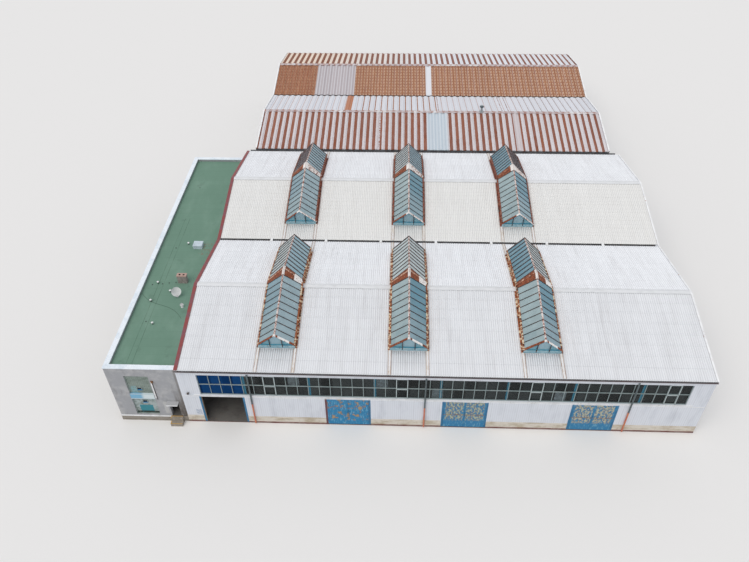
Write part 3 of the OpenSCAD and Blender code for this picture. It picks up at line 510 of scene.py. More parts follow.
@dataclass(frozen=True)
class WhiteSheet:
    """The white corrugated roof sheets, lined with painted shade along the troughs and laps, grimy just
    below the rooflights' ends, and lighter behind the ridges by a painted sheen.
    """

    name: str = "white_sheet"
    base: str = "#EBEEF2"
    streak: str = "#D5D6D9"
    trough: str = "#9FA2A6"
    grime: str = "#75777C"
    warm: str = "#EFEDE5"
    row: float = 0.572
    grime_reach: float = 1.15

    def make(self, workshop: Workshop) -> bpy.types.Material:
        """The material of the white sheets."""
        coat = workshop.coat(self.name)
        site = coat.site
        graph = coat.graph
        colour = coat.over(self.base, self.streak, coat.patches((0.2, 2.6, 2.6), 0.4, 1.0))
        wide = coat.patches((0.7, 5.0, 5.0), 0.35, 0.7)
        colour = coat.toned(colour, wide, 0.975, 1.01)
        tone = coat.cells((site.wave_pitch * 11, self.row, 50.0))
        colour = coat.toned(colour, tone, 0.985, 1.01)
        behind = coat.behind_ridge()
        # Painted sheen: slopes behind the ridges are toned lighter and those in front darker.
        colour = coat.toned(colour, behind, 0.955, 1.11)
        warmer = coat.both(coat.second_nave(), coat.invert(behind), 0.45)
        colour = coat.over(colour, self.warm, warmer)
        # Painted shade: grey lines along the troughs of the waves, broken up in patches.
        valley = coat.stripes(coat.x, site.wave_pitch, 0.016, 0.02, site.wave_pitch / 2)
        broken = coat.patches((0.06, 1.6, 1.6), 0.3, 0.7)
        colour = coat.over(colour, self.trough, valley, graph.between(broken, 0.16, 0.34))
        inward = coat.from_valley()
        below = coat.stripes(coat.x, 2 * site.bay, site.sky_w - 0.16, 0.06,
                             site.sky_mid(site.sky_bays[0]))
        among = coat.band(coat.x, site.bay, site.hall_l - 2 * site.bay, 0.3)
        near = graph.ramp(inward, 0.1, self.grime_reach, (0.2, 1.0))
        under = coat.both(coat.band(inward, -1.0, self.grime_reach, 0.02), coat.invert(behind))
        dirty = coat.both(below, among, near, under, graph.between(broken, 0.5, 1.0))
        colour = coat.over(colour, self.grime, dirty, graph.between(valley, 0.1, 0.62))
        close = coat.both(below, among, graph.ramp(inward, 0.9, self.grime_reach, (0.0, 0.4)), under)
        colour = coat.over(colour, self.grime, close, coat.patches(0.2, 0.3, 0.6))
        # Painted shadow: a faint grey line at each lap of the sheets.
        lap = coat.stripes(coat.y, self.row, 0.012, 0.01)
        colour = coat.over(colour, self.trough, lap, 0.16)
        coat.grain(0.02, 0.002)
        return coat.done(colour, 0.6, 0.0, 0.35)


@dataclass(frozen=True)
class RearSheet:
    """The rusted ribbed sheets of the rear hall, with another share of rust on each slope."""

    name: str = "rusty_sheet"
    pale: str = "#CAC3C6"
    rust: str = "#82482F"
    orange: str = "#BC8660"
    brown: str = "#966A58"
    white: str = "#E4E8EE"
    cream: str = "#E8DACB"
    panel: str = "#C3D0DA"
    dot: str = "#E2C9B2"
    rust_worn: str = "#8E5236"
    seam_ground: str = "#DDE0E7"
    seam_grey: str = "#77767C"
    fleck: str = "#C9AE92"
    flute: str = "#7C4A34"
    grey_panel: str = "#BAB5BA"
    odd_stripe: str = "#B5682C"
    panel_line: str = "#DADFE4"
    verge: str = "#F4F6F8"
    sheet_l: float = 20.0
    bright: Span = (11.74, 13.1)
    dull: Span = (3.6, 6.5)
    single_seams: tuple[float, ...] = (12.56, 16.9, 17.32)

    def slope_mask(self, coat: Coat, index: int) -> bpy.types.NodeSocket:
        """Mask of one of the four slopes, from the front to the back."""
        half = coat.site.rear_nave_d / 2
        low = coat.site.rear_y + index * half
        return coat.band(coat.y, low - (0.0 if index else 0.2), low + half, 0.0005)

    def striped(self, coat: Coat, grain: Source, wavy: Source) -> tuple[Source, Source]:
        """The front slope and the last one: sharp rust stripes on a pale ground."""
        graph = coat.graph
        pitch = coat.site.rib_pitch
        left = coat.site.rib_start
        fine = coat.patches((0.03, 0.12, 0.12), 0.35, 0.65)
        rusty = graph.between(grain, 0.86, 1.0)
        each = coat.cells((pitch, self.sheet_l, self.sheet_l), (0.1 - left, 0, 0))
        tint = coat.over(self.rust, self.rust_worn, graph.ramp(each, 0.3, 0.9))
        narrower = graph.ramp(coat.x, 12.0, 23.0, (0.2, 0.15))
        bold = coat.stripes(wavy, pitch, narrower, 0.012, left + 0.065)
        last = coat.stripes(wavy, pitch, 0.19, 0.012, left - 0.1)
        first = coat.over(self.pale, self.white, fine, 0.5)
        first = graph.mix(coat.both(bold, rusty), first, tint)
        broken = coat.both(coat.area(x=(8.38, 8.62), blur=0.02),
                           coat.patches((0.2, 0.07, 0.07), 0.44, 0.5))
        first = coat.over(first, self.pale, broken)
        ground = coat.over(self.cream, self.white, graph.ramp(coat.x, 3.0, 13.0))
        return first, coat.over(ground, self.rust, last, rusty)

    def seamed(self, coat: Coat, wavy: Source) -> Source:
        """The second slope: white, with rusty seams that are bold along its middle."""
        graph = coat.graph
        seam = coat.stripes(wavy, coat.site.rib_pitch, 0.045, 0.018, coat.site.rib_start + 0.02)
        dots = coat.patches((0.3, 0.07, 0.07), 0.38, 0.55)
        middle = coat.band(coat.x, 7.2, 12.7, 0.15)
        strength = graph.math("MULTIPLY_ADD", middle, 0.68, 0.3)
        colour = coat.over(self.seam_ground, self.orange, seam, strength)
        colour = coat.over(colour, self.rust, seam, dots, strength)
        for x in self.single_seams:
            colour = coat.over(colour, self.rust, coat.band(wavy, x, x + 0.03, 0.02), dots)
        return coat.over(colour, self.seam_grey, seam, dots, graph.ramp(coat.x, 17.5, 19.0), 0.6)

    def rusted(self, coat: Coat, grain: Source, wavy: Source) -> Source:
        """The third slope: rust all over, with rows of pale dots along the ribs."""
        graph = coat.graph
        pitch = coat.site.rib_pitch
        left = coat.site.rib_start
        fine = coat.patches((0.045, 0.1, 0.1), 0.4, 0.6)
        colour = coat.over(self.brown, self.orange, fine)
        flecks = coat.patches((0.035, 0.07, 0.07), 0.5, 0.62)
        colour = coat.over(colour, self.fleck, flecks, 0.55)
        colour = coat.over(colour, self.rust, grain, graph.ramp(coat.x, 3.0, 4.0, (0.75, 0.45)))
        fluted = coat.stripes(wavy, pitch / 4, 0.045, 0.02)
        colour = coat.over(colour, self.flute, fluted, coat.patches((0.1, 0.3, 0.3), 0.3, 0.6), 0.6)
        rows = coat.stripes(coat.x, pitch / 2, 0.05, 0.03, left + 0.1)
        dots = coat.both(rows, coat.stripes(coat.y, 0.35, 0.14, 0.08))
        colour = coat.over(colour, self.dot, dots, graph.ramp(coat.x, 3.0, 8.0, (0.2, 0.6)))
        thin = coat.stripes(coat.x, pitch, 0.02, 0.012, left + 0.02)
        return coat.over(colour, self.pale, thin, graph.ramp(coat.x, 6.0, 14.0, (0.1, 0.5)))

    def make(self, workshop: Workshop) -> bpy.types.Material:
        """The material of the rear roofs."""
        coat = workshop.coat(self.name)
        site = coat.site
        graph = coat.graph
        grain = coat.patches((0.05, 0.6, 0.6), 0.3, 0.7)
        sway = graph.math("MULTIPLY", coat.patches((0.3, 0.1, 0.1), 0.2, 0.8), 0.02)
        wavy = graph.math("ADD", coat.x, sway)
        slopes = [self.slope_mask(coat, i) for i in range(4)]
        first, fourth = self.striped(coat, grain, wavy)
        colour = graph.mix(slopes[1], first, self.seamed(coat, wavy))
        colour = graph.mix(slopes[2], colour, self.rusted(coat, grain, wavy))
        colour = graph.mix(slopes[3], colour, fourth)
        panels = ((self.bright, 0, self.panel, 0.95), (self.dull, 2, self.grey_panel, 0.94),
                  ((11.8, 12.22), 2, self.white, 0.95), ((6.1, 6.54), 1, self.odd_stripe, 0.85),
                  ((17.55, 17.95), 0, self.pale, 0.9))
        for span, index, code, amount in panels:
            colour = coat.over(colour, code, coat.band(coat.x, *span), slopes[index], amount)
        lines = coat.stripes(coat.x, site.rib_pitch / 2, 0.03, 0.015, site.rib_start)
        inside = coat.either(coat.both(coat.band(coat.x, *self.bright), slopes[0]),
                             coat.both(coat.band(coat.x, *self.dull), slopes[2]))
        colour = coat.over(colour, self.panel_line, inside, lines, 0.6)
        verge = coat.both(coat.band(coat.x, 0.0, 0.61), graph.above(coat.y, 21.0))
        colour = coat.over(colour, self.verge, verge)
        sheet = coat.cells((site.rib_pitch * 2, self.sheet_l, self.sheet_l), (-site.rib_start, 0, 0))
        colour = coat.toned(colour, sheet, 0.96, 1.03)
        coat.grain(0.015, 0.002)
        return coat.done(colour, 0.7, 0.0, 0.25)


@dataclass(frozen=True)
class RidgeCap:
    """White ridge caps: plain on the white hall, pale with rust marks on the rear hall."""

    name: str = "cap_sheet"
    base: str = "#DEE1E4"
    rear: str = "#C0BABE"
    rust: str = "#96563A"
    patch: str = "#D3D6D9"

    def make(self, workshop: Workshop) -> bpy.types.Material:
        """The material of the caps."""
        coat = workshop.coat(self.name)
        site = coat.site
        graph = coat.graph
        colour = coat.over(self.base, self.patch, coat.patches((0.4, 0.2, 0.2), 0.4, 0.75))
        behind = graph.above(coat.y, site.rear_y)
        aged = coat.over(self.rear, self.base, coat.patches((1.6, 1.0, 1.0), 0.5, 0.62))
        marks = coat.stripes(coat.x, site.rib_pitch, 0.16, 0.05, site.rib_start + 0.065)
        blots = coat.patches((0.14, 0.08, 0.08), 0.4, 0.55)
        edge = coat.either(graph.above(coat.normal_y, 0.05), coat.both(blots, 0.7))
        aged = coat.over(aged, self.rust, marks, edge, blots)
        worn = coat.patches((0.25, 0.05, 0.05), 0.52, 0.6)
        aged = coat.over(aged, self.rust, worn, 0.55)
        coat.grain(0.02, 0.001)
        return coat.done(graph.mix(behind, colour, aged), 0.55, 0.0, 0.35)


@dataclass(frozen=True)
class Cladding:
    """White wall cladding with fine ribs, board joints and runs, over a stained concrete plinth."""

    name: str = "white_cladding"
    base: str = "#D8DDE5"
    shade: str = "#C6CBD4"
    joint: str = "#A9ABB2"
    plinth: str = "#B9B2A4"
    stain: str = "#9A8C78"
    run: str = "#B5B3AF"
    smudge: str = "#8797AC"
    board: float = 0.6
    rib: float = 0.1

    def make(self, workshop: Workshop) -> bpy.types.Material:
        """The material of the walls."""
        coat = workshop.coat(self.name)
        site = coat.site
        graph = coat.graph
        colour = coat.over(self.base, self.shade, coat.patches((0.5, 0.5, 1.6), 0.45, 0.75))
        runs = coat.patches((0.04, 0.04, 0.7), 0.58, 0.78)
        colour = coat.over(colour, self.run, runs, 0.5)
        front = graph.below(coat.normal_y, -0.5)
        back = graph.above(coat.normal_y, 0.5)
        facing = coat.either(front, back)
        across = coat.stripes(coat.x, self.board, 0.006, 0.004)
        along = coat.stripes(coat.y, self.board, 0.006, 0.004)
        joints = coat.either(coat.both(across, facing), coat.both(along, coat.invert(facing)))
        colour = coat.over(colour, self.joint, joints, 0.5)
        ribs = coat.both(coat.stripes(coat.x, self.rib, 0.025, 0.02), facing)
        colour = coat.over(colour, self.joint, ribs, 0.14)
        smudge = coat.both(coat.area(x=(0.5, 0.72), y=(-0.1, 0.1), z=(0.6, 0.9), blur=0.05),
                           coat.patches(0.08, 0.35, 0.55))
        colour = coat.over(colour, self.smudge, smudge, 0.6)
        low = graph.below(coat.z, site.plinth_h)
        base = coat.over(self.plinth, self.stain, coat.patches((0.6, 0.6, 0.25), 0.42, 0.7))
        colour = graph.mix(low, colour, base)
        coat.grain(0.02, 0.0015)
        return coat.done(colour, 0.55, 0.0, 0.35)


@dataclass(frozen=True)
class Plinth:
    """Stained concrete, with a dark red strip along the foot of its upright faces."""

    name: str
    base: str
    stain: str
    edge: str
    edge_z: float
    run: str = "#9C8468"

    def make(self, workshop: Workshop) -> bpy.types.Material:
        """The material of the concrete."""
        coat = workshop.coat(self.name)
        graph = coat.graph
        colour = coat.over(self.base, self.stain, coat.patches((0.7, 0.5, 0.28), 0.4, 0.68))
        colour = coat.over(colour, self.run, coat.patches((0.1, 0.1, 0.5), 0.58, 0.75), 0.5)
        upright = graph.below(coat.normal_z, 0.5)
        foot = coat.both(upright, coat.band(coat.z, -1.0, self.edge_z, 0.01))
        worn = graph.between(coat.patches((0.5, 0.2, 0.05), 0.35, 0.6), 0.5, 0.95)
        colour = coat.over(colour, self.edge, foot, worn)
        coat.grain(0.012, 0.003)
        return coat.done(colour, 0.85, 0.0, 0.2)


@dataclass(frozen=True)
class PaneGlass:
    """Glass whose tone changes from pane to pane, with dusty panes and blue columns where asked."""

    name: str
    base: str
    other: str
    cell: Triple
    shift: Triple = (0.0, 0.0, 0.0)
    alpha: Span = (0.5, 0.7)
    roughness: float = 0.12
    specular: float = 0.5
    dusty: str | None = None
    column_w: float = 0.0
    column: str = "#357891"

    def make(self, workshop: Workshop) -> bpy.types.Material:
        """The material of the glass."""
        coat = workshop.coat(self.name)
        graph = coat.graph
        tone = coat.cells(self.cell, self.shift)
        colour = coat.over(self.base, self.other, tone)
        film = coat.patches(0.25, 0.35, 0.75)
        colour = coat.toned(colour, film, 0.9, 1.12)
        alpha = graph.ramp(tone, 0.0, 1.0, self.alpha)
        if self.dusty:
            dust = coat.both(graph.ramp(tone, 0.9, 0.92), graph.between(film, 0.35, 0.9))
            colour = coat.over(colour, self.dusty, dust)
        if self.column_w:
            behind = coat.stripes(coat.x, coat.site.bay, self.column_w, 0.02)
            colour = coat.over(colour, self.column, behind, 0.85)
            alpha = coat.either(alpha, coat.both(behind, 0.9))
        graph.feed(coat.shader.inputs["Alpha"], alpha)
        return coat.done(colour, self.roughness, 0.0, self.specular)


@dataclass(frozen=True)
class RooflightGlass:
    """Rooflight panes: paler behind the ridge and bluer on the right-facing halves by painted
    reflection, deeper in front, with a few sides bluer or duller.
    """

    name: str = "skylight_glass"
    front: str = "#A1B5B9"
    worn: str = "#7C969E"
    side: str = "#9DB4BC"
    rear: str = "#BECCCE"
    gable: str = "#7FB0BE"
    gable_mid: str = "#98B8C4"
    pane: float = 0.38
    # Sides of another tint: its colour, then nave, rooflight, -1 front or 1 rear, -1 left or 1 right
    tints: tuple[tuple[str, tuple[tuple[int, ...], ...]], ...] = (
        ("#5F90A3", ((0, 1, -1, 1), (0, 2, -1, 1), (0, 2, 1, -1),
                     (1, 1, -1, 1), (1, 2, -1, 1), (1, 2, 1, -1))),
        ("#7B9AA7", ((0, 0, -1, -1), (1, 0, -1, -1))),
        ("#93B6C3", ((0, 0, 1, 1), (1, 0, 1, 1), (1, 1, 1, 1))),
        ("#7E767C", ((1, 0, 1, -1), (1, 2, 1, 1))))

    def side_mask(self, coat: Coat, nave: int, light: int, back: int, right: int) -> Source:
        """Mask of one side of one half of a rooflight."""
        site = coat.site
        middle = site.sky_mid(site.sky_bays[light])
        ridge = (nave + 0.5) * site.nave_d
        x = sorted((middle, middle + right * site.sky_w))
        y = sorted((ridge, ridge + back * site.nave_d / 2))
        return coat.area(x=tuple(x), y=tuple(y), blur=0.001)

    def make(self, workshop: Workshop) -> bpy.types.Material:
        """The material of the rooflights' glass."""
        coat = workshop.coat(self.name)
        site = coat.site
        graph = coat.graph
        tone = coat.cells((0.3, self.pane, 50.0))
        clouds = coat.patches(0.5, 0.35, 0.7)
        inward = coat.from_valley()
        low = graph.ramp(inward, 1.3, 3.4, (0.6, 0.0))
        colour = coat.over(self.front, self.worn, low, graph.ramp(tone, 0.3, 0.9))
        # Painted reflection: the halves that face right take a bluer tint.
        colour = coat.over(colour, self.side, graph.above(coat.normal_x, 0.1))
        # Painted reflection: the halves behind the ridge are paler.
        behind = coat.behind_ridge()
        colour = coat.over(colour, self.rear, behind)
        full = coat.either(behind, graph.ramp(inward, 2.1, 3.1, (0.35, 1.0)))
        for code, sides in self.tints:
            mask = self.side_mask(coat, *sides[0])
            for place in sides[1:]:
                mask = coat.either(mask, self.side_mask(coat, *place))
            colour = coat.over(colour, code, mask, full, graph.between(clouds, 0.8, 1.0))
        colour = coat.toned(colour, clouds, 0.93, 1.07)
        middle = coat.band(coat.from_rooflight(), -site.sky_w / 6, site.sky_w / 6)
        pane = coat.over(self.gable, self.gable_mid, middle)
        colour = graph.mix(graph.below(coat.normal_z, 0.4), colour, pane)
        graph.feed(coat.shader.inputs["Alpha"], graph.between(tone, 0.88, 0.96))
        return coat.done(colour, 0.18, 0.0, 0.35)


@dataclass(frozen=True)
class RustedFlashing:
    """Rusted sheet over the rooflights' mitres and gables, white at the top and in worn places, with a
    painted highlight just behind the ridge.
    """

    name: str
    rust: str = "#8C4C31"
    dark: str = "#55352B"
    pale: str = "#D6B199"
    white: str = "#F1EFEC"
    top_w: float = 0.045
    worn: Span = (0.5, 0.84)

    def make(self, workshop: Workshop) -> bpy.types.Material:
        """The material of the flashings."""
        coat = workshop.coat(self.name)
        graph = coat.graph
        across = coat.from_rooflight()
        behind = coat.past_ridge()
        second = coat.second_nave()
        colour = coat.over(self.rust, self.dark, coat.patches((0.11, 0.06, 0.11), 0.46, 0.62))
        # Painted highlight: a pale band just behind the ridge, strongest on the first nave.
        streak = coat.both(coat.band(behind, 0.03, 0.12, 0.02),
                           coat.patches((0.2, 0.4, 0.2), 0.44, 0.52))
        colour = coat.over(colour, self.pale, streak, graph.between(second, 0.9, 0.35))
        spots = coat.patches(0.05, 0.6, 0.66)
        colour = coat.over(colour, self.pale, spots, 0.8)
        worn = coat.both(coat.band(across, *self.worn, 0.03), coat.invert(second),
                         coat.patches(0.12, 0.34, 0.44))
        right = coat.both(second, graph.above(across, 0.0), coat.patches(0.1, 0.4, 0.5))
        worn = coat.either(worn, coat.both(right, 0.85))
        width = graph.math("MULTIPLY_ADD", second, 0.09, self.top_w)
        top = coat.band(graph.math("ABSOLUTE", across), -1.0, width, 0.03)
        colour = coat.over(colour, self.white, coat.either(worn, coat.both(top, 0.92)))
        coat.grain(0.01, 0.002)
        return coat.done(colour, 0.7, 0.0, 0.25)


@dataclass(frozen=True)
class KerbRust:
    """Rust at the rooflights' feet: orange, dark and cream spots in front, even red-brown behind."""

    name: str = "kerb_rust"
    rust: str = "#9A5B39"
    dark: str = "#4A322B"
    cream: str = "#E2D2B6"
    even: str = "#84493A"

    def make(self, workshop: Workshop) -> bpy.types.Material:
        """The material of the kerbs and foot flashings."""
        coat = workshop.coat(self.name)
        graph = coat.graph
        first = graph.below(coat.y, coat.site.nave_d)
        spots = coat.patches((0.3, 0.15, 0.3), 0.51, 0.56)
        colour = coat.over(self.even, self.rust, first, 0.9)
        colour = coat.over(colour, self.dark, coat.patches((0.3, 0.13, 0.3), 0.52, 0.58))
        colour = coat.over(colour, self.cream, spots, graph.between(first, 0.12, 0.95))
        coat.grain(0.01, 0.002)
        return coat.done(colour, 0.75, 0.0, 0.25)


@dataclass(frozen=True)
class AnnexPanes:
    """Stair windows of grey-green glass blocks, the lower one paler with a turquoise panel."""

    name: str = "annex_panes"
    upper: str = "#7C8983"
    lower: str = "#A3AFAF"
    joint: str = "#9AA79E"
    panel: str = "#237F8D"
    foot: str = "#2F3B35"
    vent: str = "#161F31"
    patch: str = "#67746D"
    clear: str = "#7FA9B0"
    block: float = 0.095
    front: Span = (-0.5, 0.5)
    split_z: float = 1.7
    # Vents of the upper and the lower window, along and up
    vents: tuple[tuple[Span, Span], ...] = (((-2.03, -1.83), (2.22, 2.39)),
                                            ((-1.975, -1.775), (1.3, 1.465)))

    def make(self, workshop: Workshop) -> bpy.types.Material:
        """The material of the stair and side windows' panes."""
        coat = workshop.coat(self.name)
        graph = coat.graph
        below = graph.below(coat.z, self.split_z)
        colour = coat.over(self.upper, self.lower, below)
        colour = coat.over(colour, self.patch, coat.patches((0.2, 0.2, 0.12), 0.42, 0.7))
        grid = coat.either(coat.stripes(coat.x, self.block, 0.012, 0.01),
                           coat.stripes(coat.z, self.block, 0.012, 0.01))
        grid = coat.both(grid, coat.patches(0.2, 0.3, 0.7))
        colour = coat.over(colour, self.joint, grid, coat.invert(below), 0.6)
        pale = coat.both(coat.area(x=(-2.4, -2.1), y=self.front, z=(2.0, 2.4), blur=0.08),
                         coat.patches(0.12, 0.4, 0.55))
        colour = coat.over(colour, self.clear, pale, 0.8)
        panel = coat.area(x=(-2.22, -1.6), y=self.front, z=(0.48, 1.06), blur=0.02)
        colour = coat.over(colour, self.panel, panel, 0.95)
        foot = coat.both(coat.area(y=self.front, z=(0.3, 0.6), blur=0.05),
                         coat.patches((0.12, 0.1, 0.08), 0.3, 0.46))
        colour = coat.over(colour, self.foot, foot)
        for x, z in self.vents:
            colour = coat.over(colour, self.vent, coat.area(x=x, y=self.front, z=z))
        return coat.done(colour, 0.4, 0.0, 0.3)


@dataclass(frozen=True)
class AnnexFrames:
    """Annex window frames: grey-green, with a blue and white spandrel between the stair windows."""

    name: str = "annex_frames"
    base: str = "#8A9692"
    blue: str = "#78AECC"
    white: str = "#CFDBDE"
    vent_sill: str = "#3A86B6"
    patch: str = "#A3AEAA"
    front: Span = (-0.1, 0.2)
    # Left end and foot of each vent's sill, then its length and height
    sills: tuple[Span, ...] = ((-2.1, 2.16), (-2.05, 1.24))
    sill_size: Span = (0.34, 0.065)

    def make(self, workshop: Workshop) -> bpy.types.Material:
        """The material of the frames."""
        coat = workshop.coat(self.name)
        colour = coat.over(self.base, self.patch, coat.patches(0.2, 0.4, 0.7))
        tone = coat.over(self.white, self.blue, coat.band(coat.x, -2.6, -1.95, 0.15))
        colour = coat.graph.mix(coat.area(y=self.front, z=(1.56, 1.97)), colour, tone)
        for x, z in self.sills:
            ends = (x, x + self.sill_size[0])
            sill = coat.area(x=ends, y=self.front, z=(z, z + self.sill_size[1]))
            colour = coat.over(colour, self.vent_sill, sill)
        coat.grain(0.02, 0.001)
        return coat.done(colour, 0.5, 0.0, 0.35)


@dataclass(frozen=True)
class DoorPaint:
    """Blue steel door paint, streaked paler and flaked to primer and rust above some height."""

    name: str
    blue: str
    upper: str
    flake: str
    streak: str
    amount: Span
    size: Triple
    reach: float
    rail: float = 0.8
    rail_z: float = 0.96
    middle: float | None = None
    stile: float = 0.95

    def make(self, workshop: Workshop) -> bpy.types.Material:
        """The material of one pair of leaves."""
        coat = workshop.coat(self.name)
        graph = coat.graph
        colour = coat.over(self.blue, self.streak, coat.patches((0.06, 0.06, 0.26), 0.5, 0.68), 0.75)
        above = graph.ramp(coat.z, self.reach - 0.12, self.reach + 0.06)
        if self.middle:
            for away in (-self.stile, 0.0, self.stile):
                x = self.middle + away
                above = coat.both(above, coat.invert(coat.band(coat.x, x - 0.04, x + 0.04, 0.03)))
        rim = coat.patches(self.size, self.amount[0] - 0.035, self.amount[0])
        colour = coat.over(colour, self.flake, rim, above, 0.75)
        flakes = coat.both(coat.patches(self.size, *self.amount), above)
        colour = coat.over(colour, self.upper, flakes)
        rust = coat.patches((0.06, 0.06, 0.12), 0.6, 0.66)
        colour = coat.over(colour, self.flake, rust, above)
        line = coat.band(coat.z, self.rail_z - 0.03, self.rail_z + 0.02, 0.02)
        spots = coat.patches((0.08, 0.08, 0.05), 0.35, 0.55)
        colour = coat.over(colour, self.flake, line, spots, self.rail)
        coat.bump(coat.both(flakes, -1.0), 0.002)
        return coat.done(colour, 0.5, 0.0, 0.4)


@dataclass(frozen=True)
class PipePaint:
    """A downpipe that is grey above and rust-red cast iron below."""

    name: str = "pipe_paint"
    upper: str = "#5C686C"
    lower: str = "#C0705C"
    rust: str = "#C8805A"
    patch: str = "#4C5254"
    change_z: float = 1.5

    def make(self, workshop: Workshop) -> bpy.types.Material:
        """The material of the downpipes."""
        coat = workshop.coat(self.name)
        foot = coat.over(self.lower, self.rust, coat.patches((0.1, 0.1, 0.2), 0.45, 0.6))
        head = coat.over(self.upper, self.patch, coat.patches((0.1, 0.1, 0.3), 0.45, 0.7))
        change = coat.graph.ramp(coat.z, self.change_z - 0.01, self.change_z)
        coat.bump(coat.patches((0.01, 0.01, 0.02), 0.3, 0.7), 0.001)
        return coat.done(coat.graph.mix(change, foot, head), 0.6, 0.0, 0.4)


@dataclass(frozen=True)
class Plaster:
    """The annex's grey render: patchy, with a damp stain beside the hall and a smoother plinth."""

    name: str = "annex_plaster"
    base: str = "#A1A3A7"
    pale: str = "#B0B1B3"
    dark: str = "#8F8F90"
    damp: str = "#5E5750"
    plinth: str = "#958E84"
    spandrel: str = "#C4D2D8"
    mended: str = "#BDBEBD"
    front: Span = (-0.2, 0.3)
    plinth_z: float = 0.375

    def make(self, workshop: Workshop) -> bpy.types.Material:
        """The material of the annex walls."""
        coat = workshop.coat(self.name)
        graph = coat.graph
        colour = coat.over(self.base, self.pale, coat.patches((0.6, 0.6, 0.5), 0.45, 0.65))
        colour = coat.over(colour, self.dark, coat.patches((0.25, 0.25, 0.6), 0.52, 0.72), 0.7)
        spandrel = coat.area(x=(-2.45, -1.325), y=self.front, z=(1.58, 1.96))
        colour = coat.over(colour, self.spandrel, spandrel)
        outline = coat.area(x=(-1.0, -0.84), y=self.front, z=(0.6, 1.42), blur=0.03)
        colour = coat.over(colour, self.mended, outline, 0.7)
        tall = graph.ramp(coat.z, 0.8, 2.6, (1.0, 0.0))
        damp = coat.both(coat.area(x=(-0.34, 0.02), y=self.front, blur=0.07), tall,
                         coat.patches((0.1, 0.1, 0.3), 0.2, 0.52))
        colour = coat.over(colour, self.damp, damp, 0.9)
        edge = coat.area(x=(-0.08, 0.02), y=self.front, blur=0.05)
        colour = coat.over(colour, self.damp, edge, 0.45)
        low = graph.below(coat.z, self.plinth_z)
        colour = coat.over(colour, self.plinth, low, 0.9)
        foot = coat.band(coat.z, -0.1, 0.08, 0.12)
        colour = coat.over(colour, self.damp, foot, coat.patches((0.3, 0.3, 0.1), 0.4, 0.7), 0.6)
        coat.grain(0.02, 0.004)
        return coat.done(colour, 0.9, 0.0, 0.15)


@dataclass(frozen=True)
class Felt:
    """Green roofing felt: two long seams, a mended crack across it and stains beside the hatch."""

    name: str = "green_felt"
    base: str = "#6E8E7E"
    pale: str = "#7B998A"
    seam: str = "#557060"
    crack: str = "#4A6154"
    stain: str = "#8B6656"
    pond: str = "#607B6D"
    strip: float = 0.5
    long_seams: tuple[float, ...] = (-2.34, -2.08)
    # Middle of the crack, then its fall for each metre and each cubed metre away
    crack_at: Span = (-1.8, 4.3)
    crack_fall: Span = (0.35, 0.25)

    def make(self, workshop: Workshop) -> bpy.types.Material:
        """The material of the flat roof."""
        coat = workshop.coat(self.name)
        graph = coat.graph
        colour = coat.over(self.base, self.pale, coat.patches((1.0, 2.4, 1.0), 0.42, 0.75), 0.8)
        tone = coat.cells((50.0, self.strip, 50.0))
        colour = coat.toned(colour, tone, 0.985, 1.015)
        seams = coat.stripes(coat.y, self.strip, 0.012, 0.01)
        colour = coat.over(colour, self.seam, seams, 0.15)
        broken = coat.patches((0.3, 0.9, 0.3), 0.35, 0.6)
        for x in self.long_seams:
            line = coat.area(x=(x - 0.008, x + 0.008), y=(0.4, 11.5), blur=0.012)
            colour = coat.over(colour, self.seam, line, graph.between(broken, 0.2, 0.85))
        away = graph.math("SUBTRACT", coat.x, self.crack_at[0])
        cubed = graph.math("POWER", graph.math("ABSOLUTE", away), 3.0)
        signed = graph.math("MULTIPLY", graph.math("SIGN", away), cubed)
        steep = graph.math("MULTIPLY", signed, self.crack_fall[1])
        fall = graph.math("MULTIPLY_ADD", away, self.crack_fall[0], steep)
        level = graph.math("ADD", coat.y, fall)
        crack = coat.band(level, self.crack_at[1] - 0.01, self.crack_at[1] + 0.01, 0.014)
        colour = coat.over(colour, self.crack, crack, coat.area(x=(-3.05, -0.55)), 0.85)
        stain = coat.both(coat.area(x=(-0.8, -0.32), y=(8.3, 9.3), blur=0.08),
                          coat.patches(0.12, 0.52, 0.62))
        colour = coat.over(colour, self.stain, stain, 0.7)
        ponds = coat.patches(0.9, 0.6, 0.68)
        colour = coat.over(colour, self.pond, ponds, 0.4)
        height = graph.math("ADD", coat.patches(0.015, 0.3, 0.7), seams)
        coat.bump(height, 0.003)
        return coat.done(colour, 0.9, 0.0, 0.2)


@dataclass(frozen=True)
class RoofFittings:
    """Vent hoods, white over stems painted dark for the shadow under them; low outlets dark; the ridge
    cowl grey under a dark hood.
    """

    name: str = "vent_white"
    hood: str = "#EDEFEF"
    stem_shadow: str = "#3B4743"
    cowl: str = "#9BA3A7"
    dark: str = "#49555B"
    patch: str = "#CBCFCF"
    stem_top: float = 3.7
    cowl_hood: float = 5.0

    def make(self, workshop: Workshop) -> bpy.types.Material:
        """The material of the vents."""
        coat = workshop.coat(self.name)
        graph = coat.graph
        colour = coat.over(self.hood, self.patch, coat.patches(0.05, 0.45, 0.65))
        # Painted shadow under the hoods: all below stem_top is dark, the low outlets too.
        colour = coat.over(colour, self.stem_shadow, graph.below(coat.z, self.stem_top))
        above = graph.above(coat.z, self.cowl_hood)
        side = graph.below(coat.normal_z, 0.85)
        cowl = coat.over(self.cowl, self.dark, above, side)
        colour = graph.mix(graph.above(coat.y, coat.site.rear_y), colour, cowl)
        coat.grain(0.01, 0.001)
        return coat.done(colour, 0.5, 0.0, 0.35)


